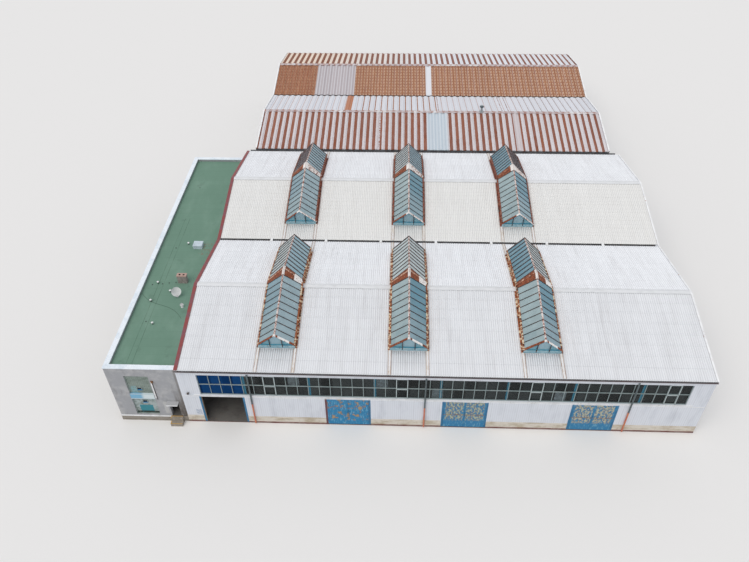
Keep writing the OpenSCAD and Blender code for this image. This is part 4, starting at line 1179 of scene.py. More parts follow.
@dataclass(frozen=True)
class ChimneyRender:
    """Grey rendered chimney with a pinkish rim, and flues painted near black inside for soot and
    painted shade.
    """

    name: str = "chimney_render"
    base: str = "#918985"
    pale: str = "#A8A19C"
    rim: str = "#B79C92"
    soot_and_shade: str = "#1C1A1A"
    run: str = "#6F6763"
    top: float = 4.1
    flue_x: tuple[float, ...] = (-1.203, -0.997)
    flue_y: float = 6.04
    flue_half: float = 0.049
    flue_foot: float = 3.0

    def make(self, workshop: Workshop) -> bpy.types.Material:
        """The material of the chimney."""
        coat = workshop.coat(self.name)
        colour = coat.over(self.base, self.pale, coat.patches((0.12, 0.12, 0.3), 0.42, 0.66))
        colour = coat.over(colour, self.run, coat.patches((0.05, 0.05, 0.3), 0.58, 0.7))
        rim = coat.area(z=(self.top - 0.045, self.top + 0.1), blur=0.004)
        colour = coat.over(colour, self.rim, rim)
        span = (self.flue_y - self.flue_half, self.flue_y + self.flue_half)
        inside = (self.flue_foot, self.top - 0.004)
        # Soot and painted shade: the flues' insides are near black.
        for x in self.flue_x:
            flue = coat.area(x=(x - self.flue_half, x + self.flue_half), y=span, z=inside, blur=0.002)
            colour = coat.over(colour, self.soot_and_shade, flue)
        coat.grain(0.012, 0.004)
        return coat.done(colour, 0.85, 0.0, 0.2)


@dataclass(frozen=True)
class EntryPaint:
    """The entry's canopy, grey above and white along its front, or its steps with yellow edges."""

    name: str
    base: str
    patch: str
    line: str
    # Stretches of the upper faces that take the line's colour, along and outwards
    lines: tuple[tuple[Span | None, Span | None], ...]

    def make(self, workshop: Workshop) -> bpy.types.Material:
        """The material of the canopy or the steps."""
        coat = workshop.coat(self.name)
        colour = coat.over(self.base, self.patch, coat.patches(0.15, 0.42, 0.66))
        level = coat.graph.above(coat.normal_z, 0.5)
        for x, y in self.lines:
            colour = coat.over(colour, self.line, level, coat.area(x=x, y=y, blur=0.006), 0.92)
        coat.grain(0.015, 0.002)
        return coat.done(colour, 0.7, 0.0, 0.25)


@dataclass(frozen=True)
class GutterPaint:
    """Eave gutters: a dark rim over a pale trough."""

    name: str = "gutter_brown"
    rim: str = "#3F2828"
    trough: str = "#C2C5CB"
    patch: str = "#2A2426"
    rim_z: float = 3.66

    def make(self, workshop: Workshop) -> bpy.types.Material:
        """The material of the eave gutters."""
        coat = workshop.coat(self.name)
        colour = coat.over(self.rim, self.patch, coat.patches((0.9, 0.1, 0.1), 0.45, 0.6))
        colour = coat.over(colour, self.trough, coat.band(coat.z, 0.0, self.rim_z, 0.004))
        coat.grain(0.02, 0.001)
        return coat.done(colour, 0.6, 0.0, 0.35)


@dataclass(frozen=True)
class SteelPaint:
    """Blue steel frames; the first closed doorway's left jamb dark red, the open one's inside tan."""

    name: str = "frame_blue"
    base: str = "#2C6C94"
    worn: str = "#417FA4"
    rust: str = "#6A3A36"
    tan: str = "#B29A80"
    spot: str = "#7A4A34"
    dark_jamb_x: Span = (6.6, 6.86)
    tan_x: Span = (0.8, 1.05)
    front: Span = (-0.3, 0.4)
    height: Span = (-1.0, 2.0)

    def make(self, workshop: Workshop) -> bpy.types.Material:
        """The material of the steel frames."""
        coat = workshop.coat(self.name)
        colour = coat.over(self.base, self.worn, coat.patches(0.5, 0.42, 0.68))
        colour = coat.over(colour, self.spot, coat.patches(0.12, 0.62, 0.66))
        # The first closed doorway's left jamb is painted dark red.
        jamb = coat.area(x=self.dark_jamb_x, y=self.front, z=self.height)
        colour = coat.over(colour, self.rust, jamb, 0.9)
        inner = coat.both(coat.area(x=self.tan_x, y=self.front, z=self.height),
                          coat.graph.above(coat.normal_x, 0.5))
        colour = coat.over(colour, self.tan, inner)
        coat.grain(0.02, 0.001)
        return coat.done(colour, 0.5, 0.0, 0.35)


# Each record slot has a finish of its name, and a few more are for single pieces
FINISHES = (
    Weathered("window_bars", "#8B9A9C", "#9CA9AA", rust="#7C5B48", rust_range=(0.66, 0.7), grain=0.0005,
              roughness=0.45),
    Weathered("valley_grey", "#66686C", "#808286", rust="#6E4A38", grain=0.001),
    Weathered("red_flashing", "#8A4444", "#7D5058", run="#6A3636", grain=0.0008, roughness=0.55),
    Weathered("white_flashing", "#F4F6F8", "#E2E4E7", rust="#A5673F", rust_range=(0.64, 0.68),
              grain=0.0008, roughness=0.5),
    Weathered("skylight_cap", "#E6DFDC", "#C9B2A8", (0.1, 0.2, 0.2), rust="#8F5643",
              rust_size=(0.05, 0.13, 0.13), rust_range=(0.49, 0.55), grain=0.001),
    Weathered("cream_strip", "#E4E5E7", "#D9D5CE", rust="#B79A7C", rust_size=(0.05, 0.4, 0.4),
              rust_range=(0.64, 0.7), grain=0.001),
    Weathered("coping_white", "#EDF5FC", "#DAE6F0", run="#C0CAD2", grain=0.001, roughness=0.5),
    Weathered("white_trim", "#EEF0F2", "#D8D9D8", run="#B9B4AA", grain=0.001),
    Weathered("dark_iron", "#4E4A48", "#6E6A66", rust="#7A4E34", grain=0.001),
    Weathered("brown_rust", "#6E4A30", "#8A6A4A", (0.05, 0.05, 0.05), grain=0.001),
    Weathered("hatch_paint", "#C6D4DE", "#AFBDC6", run="#98A2A8", grain=0.001),
    Weathered("dish_white", "#D8DADA", "#BFC2C2", rust="#9A8A78", rust_range=(0.66, 0.7), grain=0.0005,
              roughness=0.4),
    Weathered("bar_brown", "#372E30", "#4E3A34", grain=0.0006, roughness=0.6),
    Weathered("rusty_line", "#8E6448", "#B9A692", (0.05, 0.4, 0.4), (0.42, 0.62), grain=0.001),
    Weathered("turquoise", "#3A86A0", "#5A9DB0", rust="#8A5A40", rust_range=(0.66, 0.7), grain=0.0006,
              roughness=0.5),
    Weathered("pale_blue", "#88B2C0", "#A9C6CE", (0.2, 0.2, 0.2), rust="#8A6A5A",
              rust_range=(0.62, 0.66), grain=0.0006, roughness=0.5),
    Weathered("head_grey", "#C6CBD0", "#B0B6BA", rust="#7A5A48", rust_range=(0.64, 0.68), grain=0.0006,
              roughness=0.5),
    Weathered("sash_paint", "#B4C0C2", "#A2AEB0", grain=0.0006, roughness=0.45),
    Weathered("galvanised", "#A7ABAE", "#8E9295", rust="#7E6250", rust_range=(0.66, 0.7), grain=0.0006,
              roughness=0.45, metallic=0.4),
    Plinth("floor_concrete", "#6A6865", "#5A5856", "#6A4038", 0.5),
    Plinth("plinth_concrete", "#D5CFC4", "#B3A792", "#6C3A38", 0.115),
    Cladding(),
    PaneGlass("dark_glass", "#24292A", "#3C4344", (0.504, 0.5, 0.676), (-0.012, 0.0, 0.003),
              alpha=(0.5, 0.74), specular=0.2, dusty="#76848A", column_w=0.09),
    PaneGlass("blue_sheet", "#0D2C55", "#1E4A7C", (0.504, 0.5, 0.676), (-0.012, 0.0, 0.003),
              alpha=(0.97, 1.0), roughness=0.35, specular=0.0),
    WhiteSheet(),
    RearSheet(),
    RidgeCap(),
    PipePaint(),
    RooflightGlass(),
    DoorPaint("door_paint", "#1E7DC0", "#3A86B4", "#7A4A30", "#6FAED2", (0.6, 0.66), (0.16, 0.1, 0.2),
              0.96),
    Plaster(),
    Felt(),
    AnnexPanes(),
    AnnexFrames(),
    SteelPaint(),
    GutterPaint(),
    KerbRust(),
    RustedFlashing("mitre_rust"),
    RustedFlashing("gable_rust", worn=(0.16, 0.6)),
    RoofFittings(),
    ChimneyRender(),
    EntryPaint("canopy_white", "#E6E9EB", "#D2D4D5", "#A4A6A9", ((None, (-0.225, 1.0)),)),
    EntryPaint("step_concrete", "#8F887D", "#A39B90", "#C9992C",
               (((-0.9, -0.78), (-0.35, 0.1)), (None, (-0.4, -0.325)), (None, (-0.045, 0.1)))),
)

# Doors 1 to 3, from the left
DOOR_FINISHES = (
    DoorPaint("door_paint_1", "#1E7AA8", "#A28A68", "#7A5038", "#86BCD2", (0.572, 0.582),
              (0.3, 0.1, 0.3), 0.4, 0.0),
    DoorPaint("door_paint_2", "#2877A4", "#A3AD99", "#86603F", "#7FB2C2", (0.5, 0.54),
              (0.09, 0.1, 0.17), 0.6, middle=13.17),
    DoorPaint("door_paint_3", "#2877A4", "#ABAF9C", "#86603F", "#7FB2C2", (0.49, 0.53),
              (0.1, 0.1, 0.16), 0.6, middle=19.1),
)


class Paint:
    """Every finish made once, by name, and one for each pair of door leaves."""

    def __init__(self, workshop: Workshop) -> None:
        """Makes the materials."""
        self.materials = {finish.name: finish.make(workshop) for finish in FINISHES}
        self.doors = [finish.make(workshop) for finish in DOOR_FINISHES]

    def __getitem__(self, name: str) -> bpy.types.Material:
        """The material of that name."""
        return self.materials[name]


class Recipe:
    """A Geometry Nodes tree with named inputs, and the plain meshes that it makes."""

    def __init__(self, name: str, inputs: dict[str, str]) -> None:
        """Starts the tree.

        Args:
            name: the tree's name.
            inputs: socket type by input name, a Material input is added.
        """
        self.tree = bpy.data.node_groups.new(name, "GeometryNodeTree")
        kinds = {**inputs, "Material": "NodeSocketMaterial"}
        self.sockets = {label: self.tree.interface.new_socket(label, in_out="INPUT", socket_type=kind)
                        for label, kind in kinds.items()}
        self.tree.interface.new_socket("Geometry", in_out="OUTPUT", socket_type="NodeSocketGeometry")
        self.graph = Graph(self.tree)
        entry = self.graph.add("NodeGroupInput")
        self.entry = {label: entry.outputs[label] for label in kinds}

    def end(self, geometry: bpy.types.NodeSocket) -> None:
        """Realizes the instances, sets the material and ends the tree."""
        real = self.graph.add("GeometryNodeRealizeInstances", {0: geometry})
        painted = self.graph.add("GeometryNodeSetMaterial", {
            "Geometry": real.outputs[0], "Material": self.entry["Material"]})
        self.graph.add("NodeGroupOutput", {0: painted.outputs[0]})

    def mesh(self, values: dict[str, object]) -> bpy.types.Mesh:
        """Runs the tree once.

        Args:
            values: each input's value, by the input's name.

        Returns:
            The result as a plain mesh.
        """
        carrier = bpy.data.objects.new("carrier", bpy.data.meshes.new("carrier"))
        bpy.context.collection.objects.link(carrier)
        modifier = carrier.modifiers.new("recipe", "NODES")
        modifier.node_group = self.tree
        for label, value in values.items():
            modifier[self.sockets[label].identifier] = value
        ready = carrier.evaluated_get(bpy.context.evaluated_depsgraph_get())
        result = bpy.data.meshes.new_from_object(ready)
        bpy.data.objects.remove(carrier)
        return result


class CorrugatedRows(Recipe):
    """Rows of corrugated sheet, each lapped over the next one down the slope."""

    # Facets of one wave, the tilt of a sheet in its own thicknesses, and the weld distance
    FACETS = 6
    TILT = 1.5
    WELD = 1e-5

    def __init__(self) -> None:
        """Builds the tree."""
        super().__init__("corrugated_rows", {
            "Waves": "NodeSocketInt", "Pitch": "NodeSocketFloat", "Height": "NodeSocketFloat",
            "Sheet": "NodeSocketFloat", "Rows": "NodeSocketInt", "Row": "NodeSocketFloat",
            "Lap": "NodeSocketFloat"})
        graph, entry = self.graph, self.entry
        width = graph.math("MULTIPLY", entry["Waves"], entry["Pitch"])
        length = graph.math("ADD", entry["Row"], entry["Lap"])
        across = graph.math("MULTIPLY_ADD", entry["Waves"], self.FACETS, 1.0)
        grid = graph.add("GeometryNodeMeshGrid", {"Size X": width, "Size Y": length,
                                                  "Vertices X": across, "Vertices Y": 2})
        x, y, _ = graph.xyz(graph.add("GeometryNodeInputPosition").outputs[0])
        x = graph.math("MULTIPLY_ADD", width, 0.5, x)
        y = graph.math("MULTIPLY_ADD", length, 0.5, y)
        turns = graph.math("MULTIPLY", graph.math("DIVIDE", x, entry["Pitch"]), math.tau)
        wave = graph.math("MULTIPLY_ADD", graph.math("COSINE", turns), 0.5, 0.5)
        tilt = graph.math("MULTIPLY", graph.math("DIVIDE", y, length),
                          graph.math("MULTIPLY", entry["Sheet"], self.TILT))
        height = graph.math("MULTIPLY_ADD", wave, entry["Height"], tilt)
        under = graph.add("GeometryNodeSetPosition", {
            "Geometry": grid.outputs[0], "Position": graph.join(x, y, height)})
        upper = graph.add("GeometryNodeExtrudeMesh", {
            "Mesh": under.outputs[0], "Offset": graph.join(0.0, 0.0, 1.0),
            "Offset Scale": entry["Sheet"], "Individual": False})
        lower = graph.add("GeometryNodeFlipFaces", {0: under.outputs[0]})
        both = graph.add("GeometryNodeJoinGeometry")
        for part in (lower, upper):
            self.tree.links.new(part.outputs[0], both.inputs[0])
        closed = graph.add("GeometryNodeMergeByDistance", {
            "Geometry": both.outputs[0], "Distance": self.WELD})
        rows = graph.add("GeometryNodeMeshLine", {"Count": entry["Rows"],
                                                  "Offset": graph.join(0.0, entry["Row"], 0.0)})
        copies = graph.add("GeometryNodeInstanceOnPoints", {
            "Points": rows.outputs[0], "Instance": closed.outputs[0]})
        self.end(copies.outputs[0])


class BarArray(Recipe):
    """Bars of one size in two directions."""

    def __init__(self) -> None:
        """Builds the tree."""
        super().__init__("bar_array", {
            "Size": "NodeSocketVector",
            "Count A": "NodeSocketInt", "Step A": "NodeSocketVector",
            "Count B": "NodeSocketInt", "Step B": "NodeSocketVector"})
        graph, entry = self.graph, self.entry
        bar = graph.add("GeometryNodeMeshCube", {"Size": entry["Size"]})
        lines = [graph.add("GeometryNodeMeshLine", {"Count": entry["Count " + way],
                                                    "Offset": entry["Step " + way]}) for way in "AB"]
        row = graph.add("GeometryNodeInstanceOnPoints", {
            "Points": lines[0].outputs[0], "Instance": bar.outputs[0]})
        rows = graph.add("GeometryNodeInstanceOnPoints", {
            "Points": lines[1].outputs[0], "Instance": row.outputs[0]})
        self.end(rows.outputs[0])


@dataclass
class Kit:
    """What the sub-assemblies share: the site, the paints and the recipes."""

    site: Site
    paint: Paint
    rows: CorrugatedRows = field(default_factory=CorrugatedRows)
    bars: BarArray = field(default_factory=BarArray)

    def bar_mesh(self, size: Sequence[float], material: str, count: tuple[int, int] = (1, 1),
                 step_a: Sequence[float] = (0, 0, 0),
                 step_b: Sequence[float] = (0, 0, 0)) -> bpy.types.Mesh:
        """Bars in two directions, the first one centred on the origin.

        Args:
            size: length, width and height of a bar.
            material: name of its paint.
            count: bars in each direction.
            step_a: step in the first direction.
            step_b: step in the second direction.

        Returns:
            The mesh.
        """
        return self.bars.mesh({
            "Size": tuple(size),
            "Count A": count[0], "Step A": tuple(step_a), "Count B": count[1], "Step B": tuple(step_b),
            "Material": self.paint[material]})

    def plate(self, outline: Sequence[Sequence[float]], normal: Sequence[float], thick: float,
              material: str) -> bpy.types.Mesh:
        """A flat plate of some thickness over a polygon, out along its normal.

        Args:
            outline: the polygon's corners, anticlockwise seen from outside.
            normal: direction in which the plate grows.
            thick: its thickness.
            material: name of its paint.

        Returns:
            The closed mesh.
        """
        out = Vector(normal).normalized() * thick
        lower = [Vector(corner) for corner in outline]
        upper = [c + out for c in lower]
        count = len(lower)
        faces = [list(range(count, 2 * count)), list(range(count - 1, -1, -1))]
        faces += [[i, (i + 1) % count, count + (i + 1) % count, count + i] for i in range(count)]
        mesh = bpy.data.meshes.new("plate")
        mesh.from_pydata([tuple(v) for v in lower + upper], [], faces)
        mesh.materials.append(self.paint[material])
        return mesh

    def piece(self, name: str, parts: Iterable[Placed], slot: str,
              body: str = "root", replaces: Sequence[str] = ()) -> bpy.types.Object:
        """One finished piece from placed meshes of one paint.

        Args:
            name: the piece's name.
            parts: meshes and the matrices that bring them into the row frame.
            slot: a record slot's name; not used.
            body: the CAD body that it rides on.
            replaces: CAD nodes that it stands for.

        Returns:
            The object.
        """
        vertices: list[Triple] = []
        faces: list[list[int]] = []
        material = None
        for mesh, matrix in parts:
            start = len(vertices)
            vertices += [tuple(matrix @ v.co) for v in mesh.vertices]
            turned = matrix.determinant() < 0
            for polygon in mesh.polygons:
                loop = [start + i for i in polygon.vertices]
                faces.append(loop[::-1] if turned else loop)
            material = material or next(m for m in mesh.materials if m)
        whole = bpy.data.meshes.new(name)
        whole.from_pydata(vertices, [], faces)
        whole.materials.append(material)
        whole.validate()
        piece = bpy.data.objects.new(name, whole)
        bpy.context.collection.objects.link(piece)
        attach(piece, body)
        if replaces:
            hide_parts(*replaces)
        LOG.info("piece %s: %d triangles", name, sum(len(p.vertices) - 2 for p in whole.polygons))
        return piece


@dataclass
class WhiteRoof:
    """The corrugated sheets of the white roofs, in place of the plain slabs."""

    kit: Kit
    wave_height: float = 0.024
    sheet_t: float = 0.005
    lap: float = 0.03
    upper_rows: int = 6
    lower_rows: int = 2
    ridge_gap: float = 0.012
    rail_w: float = 0.05
    rail_step: float = 0.5
    clear: float = 0.0005
    strip_w: float = 0.12
    strip_t: float = 0.004
    edge_w: float = 0.02
    edge_t: float = 0.012
    flange_w: float = 0.085

    @property
    def base_h(self) -> float:
        """Height of the sheets' underside over the beams."""
        return self.kit.site.roof_t - self.wave_height - (CorrugatedRows.TILT + 1) * self.sheet_t

    def rows_mesh(self, waves: int, rows: int, row: float) -> bpy.types.Mesh:
        """Rows of sheets, so many waves wide."""
        return self.kit.rows.mesh({
            "Waves": waves, "Pitch": self.kit.site.wave_pitch, "Height": self.wave_height,
            "Sheet": self.sheet_t, "Rows": rows, "Row": row, "Lap": self.lap,
            "Material": self.kit.paint["white_sheet"]})

    def slope_sheets(self, slope: Slope) -> list[Placed]:
        """All the sheets of one slope, with their places."""
        site = self.kit.site
        run = slope.sky_run - site.kerb_t
        edges = [0.0]
        for bay in site.sky_bays:
            edges += [site.sky_mid(bay) - site.sky_w / 2 + site.kerb_t,
                      site.sky_mid(bay) + site.sky_w / 2 - site.kerb_t]
        edges.append(site.hall_l)
        parts = []
        upper_row = (run - self.ridge_gap) / self.upper_rows
        for left, right in zip(edges[::2], edges[1::2]):
            first, last = round(left / site.wave_pitch), round(right / site.wave_pitch)
            place = Matrix.Translation((first * site.wave_pitch, self.ridge_gap, self.base_h))
            rows = self.rows_mesh(last - first, self.upper_rows, upper_row)
            parts.append((rows, slope.frame @ place))
        lower_row = (slope.end - self.lap - run) / self.lower_rows
        place = Matrix.Translation((0, run, self.base_h))
        waves = round(site.hall_l / site.wave_pitch)
        parts.append((self.rows_mesh(waves, self.lower_rows, lower_row), slope.frame @ place))
        return parts

    def rails(self) -> None:
        """The rails under the sheets' laps."""
        site = self.kit.site
        parts = []
        height = self.base_h * 0.9
        rails = self.kit.bar_mesh((site.hall_l - 0.02, self.rail_w, height), "galvanised", (2, 1),
                                  (0, self.rail_step, 0))
        for slope in site.roof_slopes():
            middle = (site.hall_l / 2, slope.sky_run + self.rail_w, height / 2 + self.clear)
            parts.append((rails, slope.frame @ Matrix.Translation(middle)))
        self.kit.piece("roof_rails", parts, "frame_blue")

    def side_strips(self) -> None:
        """Flat cream strips with rusty edges, from each rooflight's sides to the eave or the valley."""
        site = self.kit.site
        strips, edges, flanges = [], [], []
        for slope in site.roof_slopes():
            run = slope.sky_run
            length = slope.end - run - 0.01
            strip = self.kit.bar_mesh((self.strip_w, length, self.strip_t), "cream_strip", (2, 1),
                                      (site.sky_w, 0, 0))
            edge = self.kit.bar_mesh((self.edge_w, length, self.edge_t), "rusty_line", (2, 2),
                                     (self.strip_w, 0, 0), (site.sky_w, 0, 0))
            flange = self.kit.bar_mesh((self.flange_w, run, self.edge_t), "kerb_rust", (2, 1),
                                       (site.sky_w + self.flange_w, 0, 0))
            for bay in site.sky_bays:
                left = site.sky_mid(bay) - site.sky_w / 2
                middle = run + length / 2
                top = site.roof_t + self.clear
                strips.append((strip, slope.frame @ Matrix.Translation(
                    (left, middle, top + self.strip_t / 2))))
                edges.append((edge, slope.frame @ Matrix.Translation(
                    (left - self.strip_w / 2, middle, top + self.edge_t / 2))))
                flanges.append((flange, slope.frame @ Matrix.Translation(
                    (left - self.flange_w / 2, run / 2, top + self.edge_t / 2))))
        self.kit.piece("rooflight_side_strips", strips, "kerb_rust")
        self.kit.piece("rooflight_strip_edges", edges, "kerb_rust")
        self.kit.piece("rooflight_flanges", flanges, "kerb_rust")

    def build(self) -> None:
        """Makes the sheets, the rails under them and the strips on them."""
        for slope in self.kit.site.roof_slopes():
            name = f"white_sheets_{'front' if slope.side < 0 else 'back'}_{slope.nave + 1}"
            self.kit.piece(name, self.slope_sheets(slope), "white_sheet", replaces=["white_roof"])
        self.rails()
        self.side_strips()


@dataclass
class Rooflights:
    """Bars, gable frames and rusted flashings on the six rooflights."""

    kit: Kit
    bar_count: int = 8
    bar_w: Span = (0.032, 0.06)
    bar_t: float = 0.02
    flash_w: float = 0.14
    flash_t: float = 0.018
    mullion_w: float = 0.035
    mullion_t: float = 0.012
    mullion_out: float = 0.022
    end_t: float = 0.016
    # How far a bargeboard reaches past the gable and below the glass
    board_past: float = 0.03
    board_w: float = 0.095
    board_t: float = 0.02
    sink: float = 0.12
    foot_w: float = 0.075
    foot_t: float = 0.03

    def lean_frame(self, bay: int, across: int) -> Matrix:
        """Matrix from (down the slope, up the lean, out of the glass) to the slope frame."""
        site = self.kit.site
        cos_b, sin_b = math.cos(site.sky_lean), math.sin(site.sky_lean)
        foot = Vector((site.sky_mid(bay) + across * site.sky_w / 2, 0, site.roof_t + site.kerb_h))
        return Matrix(((0, -across * cos_b, across * sin_b, foot.x), (1, 0, 0, foot.y),
                       (0, sin_b, cos_b, foot.z), (0, 0, 0, 1)))

    @property
    def lean_l(self) -> float:
        """Length of the glass up the lean."""
        return math.hypot(self.kit.site.sky_h, self.kit.site.sky_w / 2)

    def each_half(self) -> list[tuple[Slope, int]]:
        """Slope and bay of each half rooflight."""
        site = self.kit.site
        return [(slope, bay) for slope in site.roof_slopes() for bay in site.sky_bays]

    def glazing_bars(self) -> list[Placed]:
        """Bars up the glass of every half."""
        parts = []
        for slope, bay in self.each_half():
            step = (slope.sky_run - self.flash_w) / (self.bar_count + 1)
            width = self.bar_w[0 if slope.side < 0 else 1]
            bars = self.kit.bar_mesh((width, self.lean_l, self.bar_t), "bar_brown",
                                     (self.bar_count + 1, 1), (step, 0, 0))
            for across in (-1, 1):
                place = Matrix.Translation((self.flash_w, self.lean_l / 2, self.bar_t / 2))
                parts.append((bars, slope.frame @ self.lean_frame(bay, across) @ place))
        return parts

    def foot_flashings(self) -> list[Placed]:
        """Rusted edge strips along the feet of the glass."""
        parts = []
        for slope, bay in self.each_half():
            run = slope.sky_run
            strip = self.kit.bar_mesh((run, self.foot_w, self.foot_t), "kerb_rust")
            place = Matrix.Translation((run / 2, self.foot_w / 2 - 0.01, self.foot_t / 2))
            parts += [(strip, slope.frame @ self.lean_frame(bay, across) @ place) for across in (-1, 1)]
        return parts

    def ridge_flashings(self) -> list[Placed]:
        """Rusted bands over the mitre, where the two halves of a rooflight meet."""
        site = self.kit.site
        parts = []
        rise = math.tan(site.slope)
        foot = site.roof_t + site.kerb_h
        top = self.lean_l
        outline = [(-foot * rise, 0, 0), (self.flash_w, 0, 0), (self.flash_w, top, 0),
                   (-(foot + site.sky_h) * rise, top, 0)]
        plate = self.kit.plate(outline, (0, 0, 1), self.flash_t, "mitre_rust")
        for slope, bay in self.each_half():
            parts += [(plate, slope.frame @ self.lean_frame(bay, across)) for across in (-1, 1)]
        return parts

    def gables(self) -> tuple[list[list[Placed]], list[list[Placed]], list[list[Placed]]]:
        """Mullions, end boards and bargeboards of the front and of the rear gables."""
        site = self.kit.site
        mullions, fronts, boards = [[], []], [[], []], [[], []]
        foot = site.roof_t + site.kerb_h
        height = site.sky_h * 2 / 3 + self.sink
        offset = site.sky_w / 6
        top = self.lean_l + self.board_t * math.tan(site.sky_lean)
        bars = self.kit.bar_mesh((self.mullion_w, self.mullion_t, height), "bar_brown", (2, 1),
                                 (2 * offset, 0, 0))
        for slope, bay in self.each_half():
            run = slope.sky_run
            end = 0 if slope.side < 0 else 1
            mullions[end].append((bars, slope.frame @ Matrix.Translation(
                (site.sky_mid(bay) - offset, run + self.mullion_out, foot - self.sink + height / 2))))
            front = self.kit.bar_mesh((site.sky_w - 0.01, self.end_t, site.kerb_h - 0.01),
                                      ("pale_blue", "bar_brown")[end])
            fronts[end].append((front, slope.frame @ Matrix.Translation(
                (site.sky_mid(bay), run + self.end_t / 2, site.roof_t + site.kerb_h / 2))))
            back, tip = run - self.board_w + 0.02, run + self.board_past
            low = -self.board_past
            outline = [(back, low, 0), (tip, low, 0), (tip, top, 0), (back, top, 0)]
            plate = self.kit.plate(outline, (0, 0, 1), self.board_t, ("gable_rust", "bar_brown")[end])
            boards[end] += [(plate, slope.frame @ self.lean_frame(bay, across)) for across in (-1, 1)]
        return mullions, fronts, boards

    def build(self) -> None:
        """Makes every piece of the rooflights."""
        mullions, fronts, boards = self.gables()
        self.kit.piece("rooflight_bars", self.glazing_bars(), "kerb_rust")
        self.kit.piece("rooflight_ridge_flashings", self.ridge_flashings(), "kerb_rust")
        self.kit.piece("rooflight_foot_flashings", self.foot_flashings(), "kerb_rust")
        for end, name in enumerate(("front", "rear")):
            self.kit.piece(f"rooflight_{name}_mullions", mullions[end], "kerb_rust")
            self.kit.piece(f"rooflight_{name}_end_boards", fronts[end], "window_bars")
            self.kit.piece(f"rooflight_{name}_bargeboards", boards[end], "kerb_rust")


@dataclass
class SmallFittings:
    """Opening sashes, sill and drip trim, valley covers, wall lamp, and the annex's small parts."""

    kit: Kit
    sashes: tuple[float, ...] = (4.18, 10.234, 16.289, 22.343)
    sash_w: float = 0.54
    sash_bar: float = 0.036
    sash_t: float = 0.022
    sash_y: float = 0.03
    sash_gap: float = 0.04
    middle_drop: float = 0.04
    cover: Triple = (0.14, 0.3, 0.012)
    cover_z: float = 3.815
    lamp_at: Triple = (0.34, -0.04, 2.16)

    def fixed(self, name: str, material: str, slot: str,
              bars: Iterable[tuple[Sequence[float], Sequence[float]]]) -> None:
        """One piece of bars on the building.

        Args:
            name: the piece's name.
            material: name of its paint.
            slot: a record slot's name, handed on to the piece.
            bars: size and middle of each bar, in the building's frame.
        """
        parts = [(self.kit.bar_mesh(size, material), self.kit.site.at(*middle))
                 for size, middle in bars]
        self.kit.piece(name, parts, slot)

    def opening_sashes(self) -> None:
        """Pale frames round the panes that open, over both rows."""
        site = self.kit.site
        height = site.window_top - site.window_sill - self.sash_gap
        middle = (site.window_top + site.window_sill) / 2
        half = (self.sash_w - self.sash_bar) / 2
        reach = (height - self.sash_bar) / 2
        rails = (middle - reach, middle - self.middle_drop, middle + reach)
        bars = []
        for x in self.sashes:
            bars += [((self.sash_bar, self.sash_t, height), (x + side * half, self.sash_y, middle))
                     for side in (-1, 1)]
            bars += [((self.sash_w, self.sash_t, self.sash_bar), (x, self.sash_y, z)) for z in rails]
        self.fixed("opening_sashes", "sash_paint", "window_bars", bars)

    def front_trim(self) -> None:
        """White sill under the ribbon window, and a drip strip over the doorways."""
        site = self.kit.site
        length = site.hall_l - 2 * site.window_inset + 0.6
        middle = site.hall_l / 2
        self.fixed("window_sill_trim", "white_trim", "white_flashing", (
            ((length, 0.035, 0.022), (middle, -0.012, site.window_sill - 0.012)),
            ((site.hall_l - 0.04, 0.012, 0.03), (middle, -0.004, site.window_sill - 0.11))))

    def valley_covers(self) -> None:
        """White plates over the joints of the valley between the white naves."""
        site = self.kit.site
        count = round(site.hall_l / site.bay) - 1
        plates = self.kit.bar_mesh(self.cover, "white_trim", (count, 1), (site.bay, 0, 0))
        self.kit.piece("valley_covers", [(plates, site.at(site.bay, site.nave_d, self.cover_z))],
                       "white_flashing")

    def lamp(self) -> None:
        """A small wall lamp: bracket, body and hood."""
        x, y, z = self.lamp_at
        self.fixed("wall_lamp", "dark_iron", "gutter_brown", (
            ((0.03, 0.08, 0.03), (x, y, z)), ((0.09, 0.06, 0.05), (x, y - 0.02, z - 0.03)),
            ((0.11, 0.08, 0.012), (x, y - 0.02, z + 0.004))))

    def annex_trim(self) -> None:
        """Ledge over the annex's plinth, and the pipe, wire cover and box beside its window."""
        self.fixed("annex_ledge", "white_trim", "white_flashing", (
            ((2.43, 0.03, 0.045), (-2.035, -0.014, 0.36)),
            ((2.43, 0.012, 0.02), (-2.035, -0.022, 0.33))))
        self.fixed("annex_pipe", "white_trim", "white_flashing", (
            ((0.045, 0.03, 1.15), (-1.245, -0.015, 2.3)), ((0.06, 0.034, 0.03), (-1.245, -0.017, 2.62)),
            ((0.06, 0.034, 0.03), (-1.245, -0.017, 1.98))))
        self.fixed("annex_wire_cover", "dark_iron", "gutter_brown", (
            ((0.02, 0.02, 1.2), (-1.195, -0.01, 2.22)), ((0.035, 0.024, 0.05), (-1.195, -0.012, 1.64))))
        self.fixed("annex_wall_box", "brown_rust", "gutter_brown", (
            ((0.09, 0.04, 0.12), (-1.2, -0.02, 2.86)), ((0.11, 0.05, 0.015), (-1.2, -0.024, 2.926))))

    def build(self) -> None:
        """Makes every fitting."""
        self.opening_sashes()
        self.front_trim()
        self.valley_covers()
        self.lamp()
        self.annex_trim()


class Dresser:
    """Gives every CAD node its material."""

    # Nodes that take another finish than their slot's
    OWN = {"valley_gutters": "valley_grey", "skylight_gables": "turquoise", "door_heads": "head_grey"}

    def __init__(self, paint: Paint) -> None:
        """Keeps the paints."""
        self.paint = paint

    def dress(self, nodes: dict, slots: dict[str, str]) -> None:
        """Sets each node's material: that of its pair of door leaves, or of its record slot.

        Args:
            nodes: CAD objects by node name.
            slots: slot name by node name.
        """
        for name, node in nodes.items():
            words = name.split("_")
            if words[0] == "door" and words[1].isdigit():
                material = self.paint.doors[int(words[1]) - 1]
            else:
                material = self.paint[self.OWN.get(name, slots[name])]
            for slot in node.material_slots:
                slot.material = material
            LOG.info("node %s: %s", name, material.name)


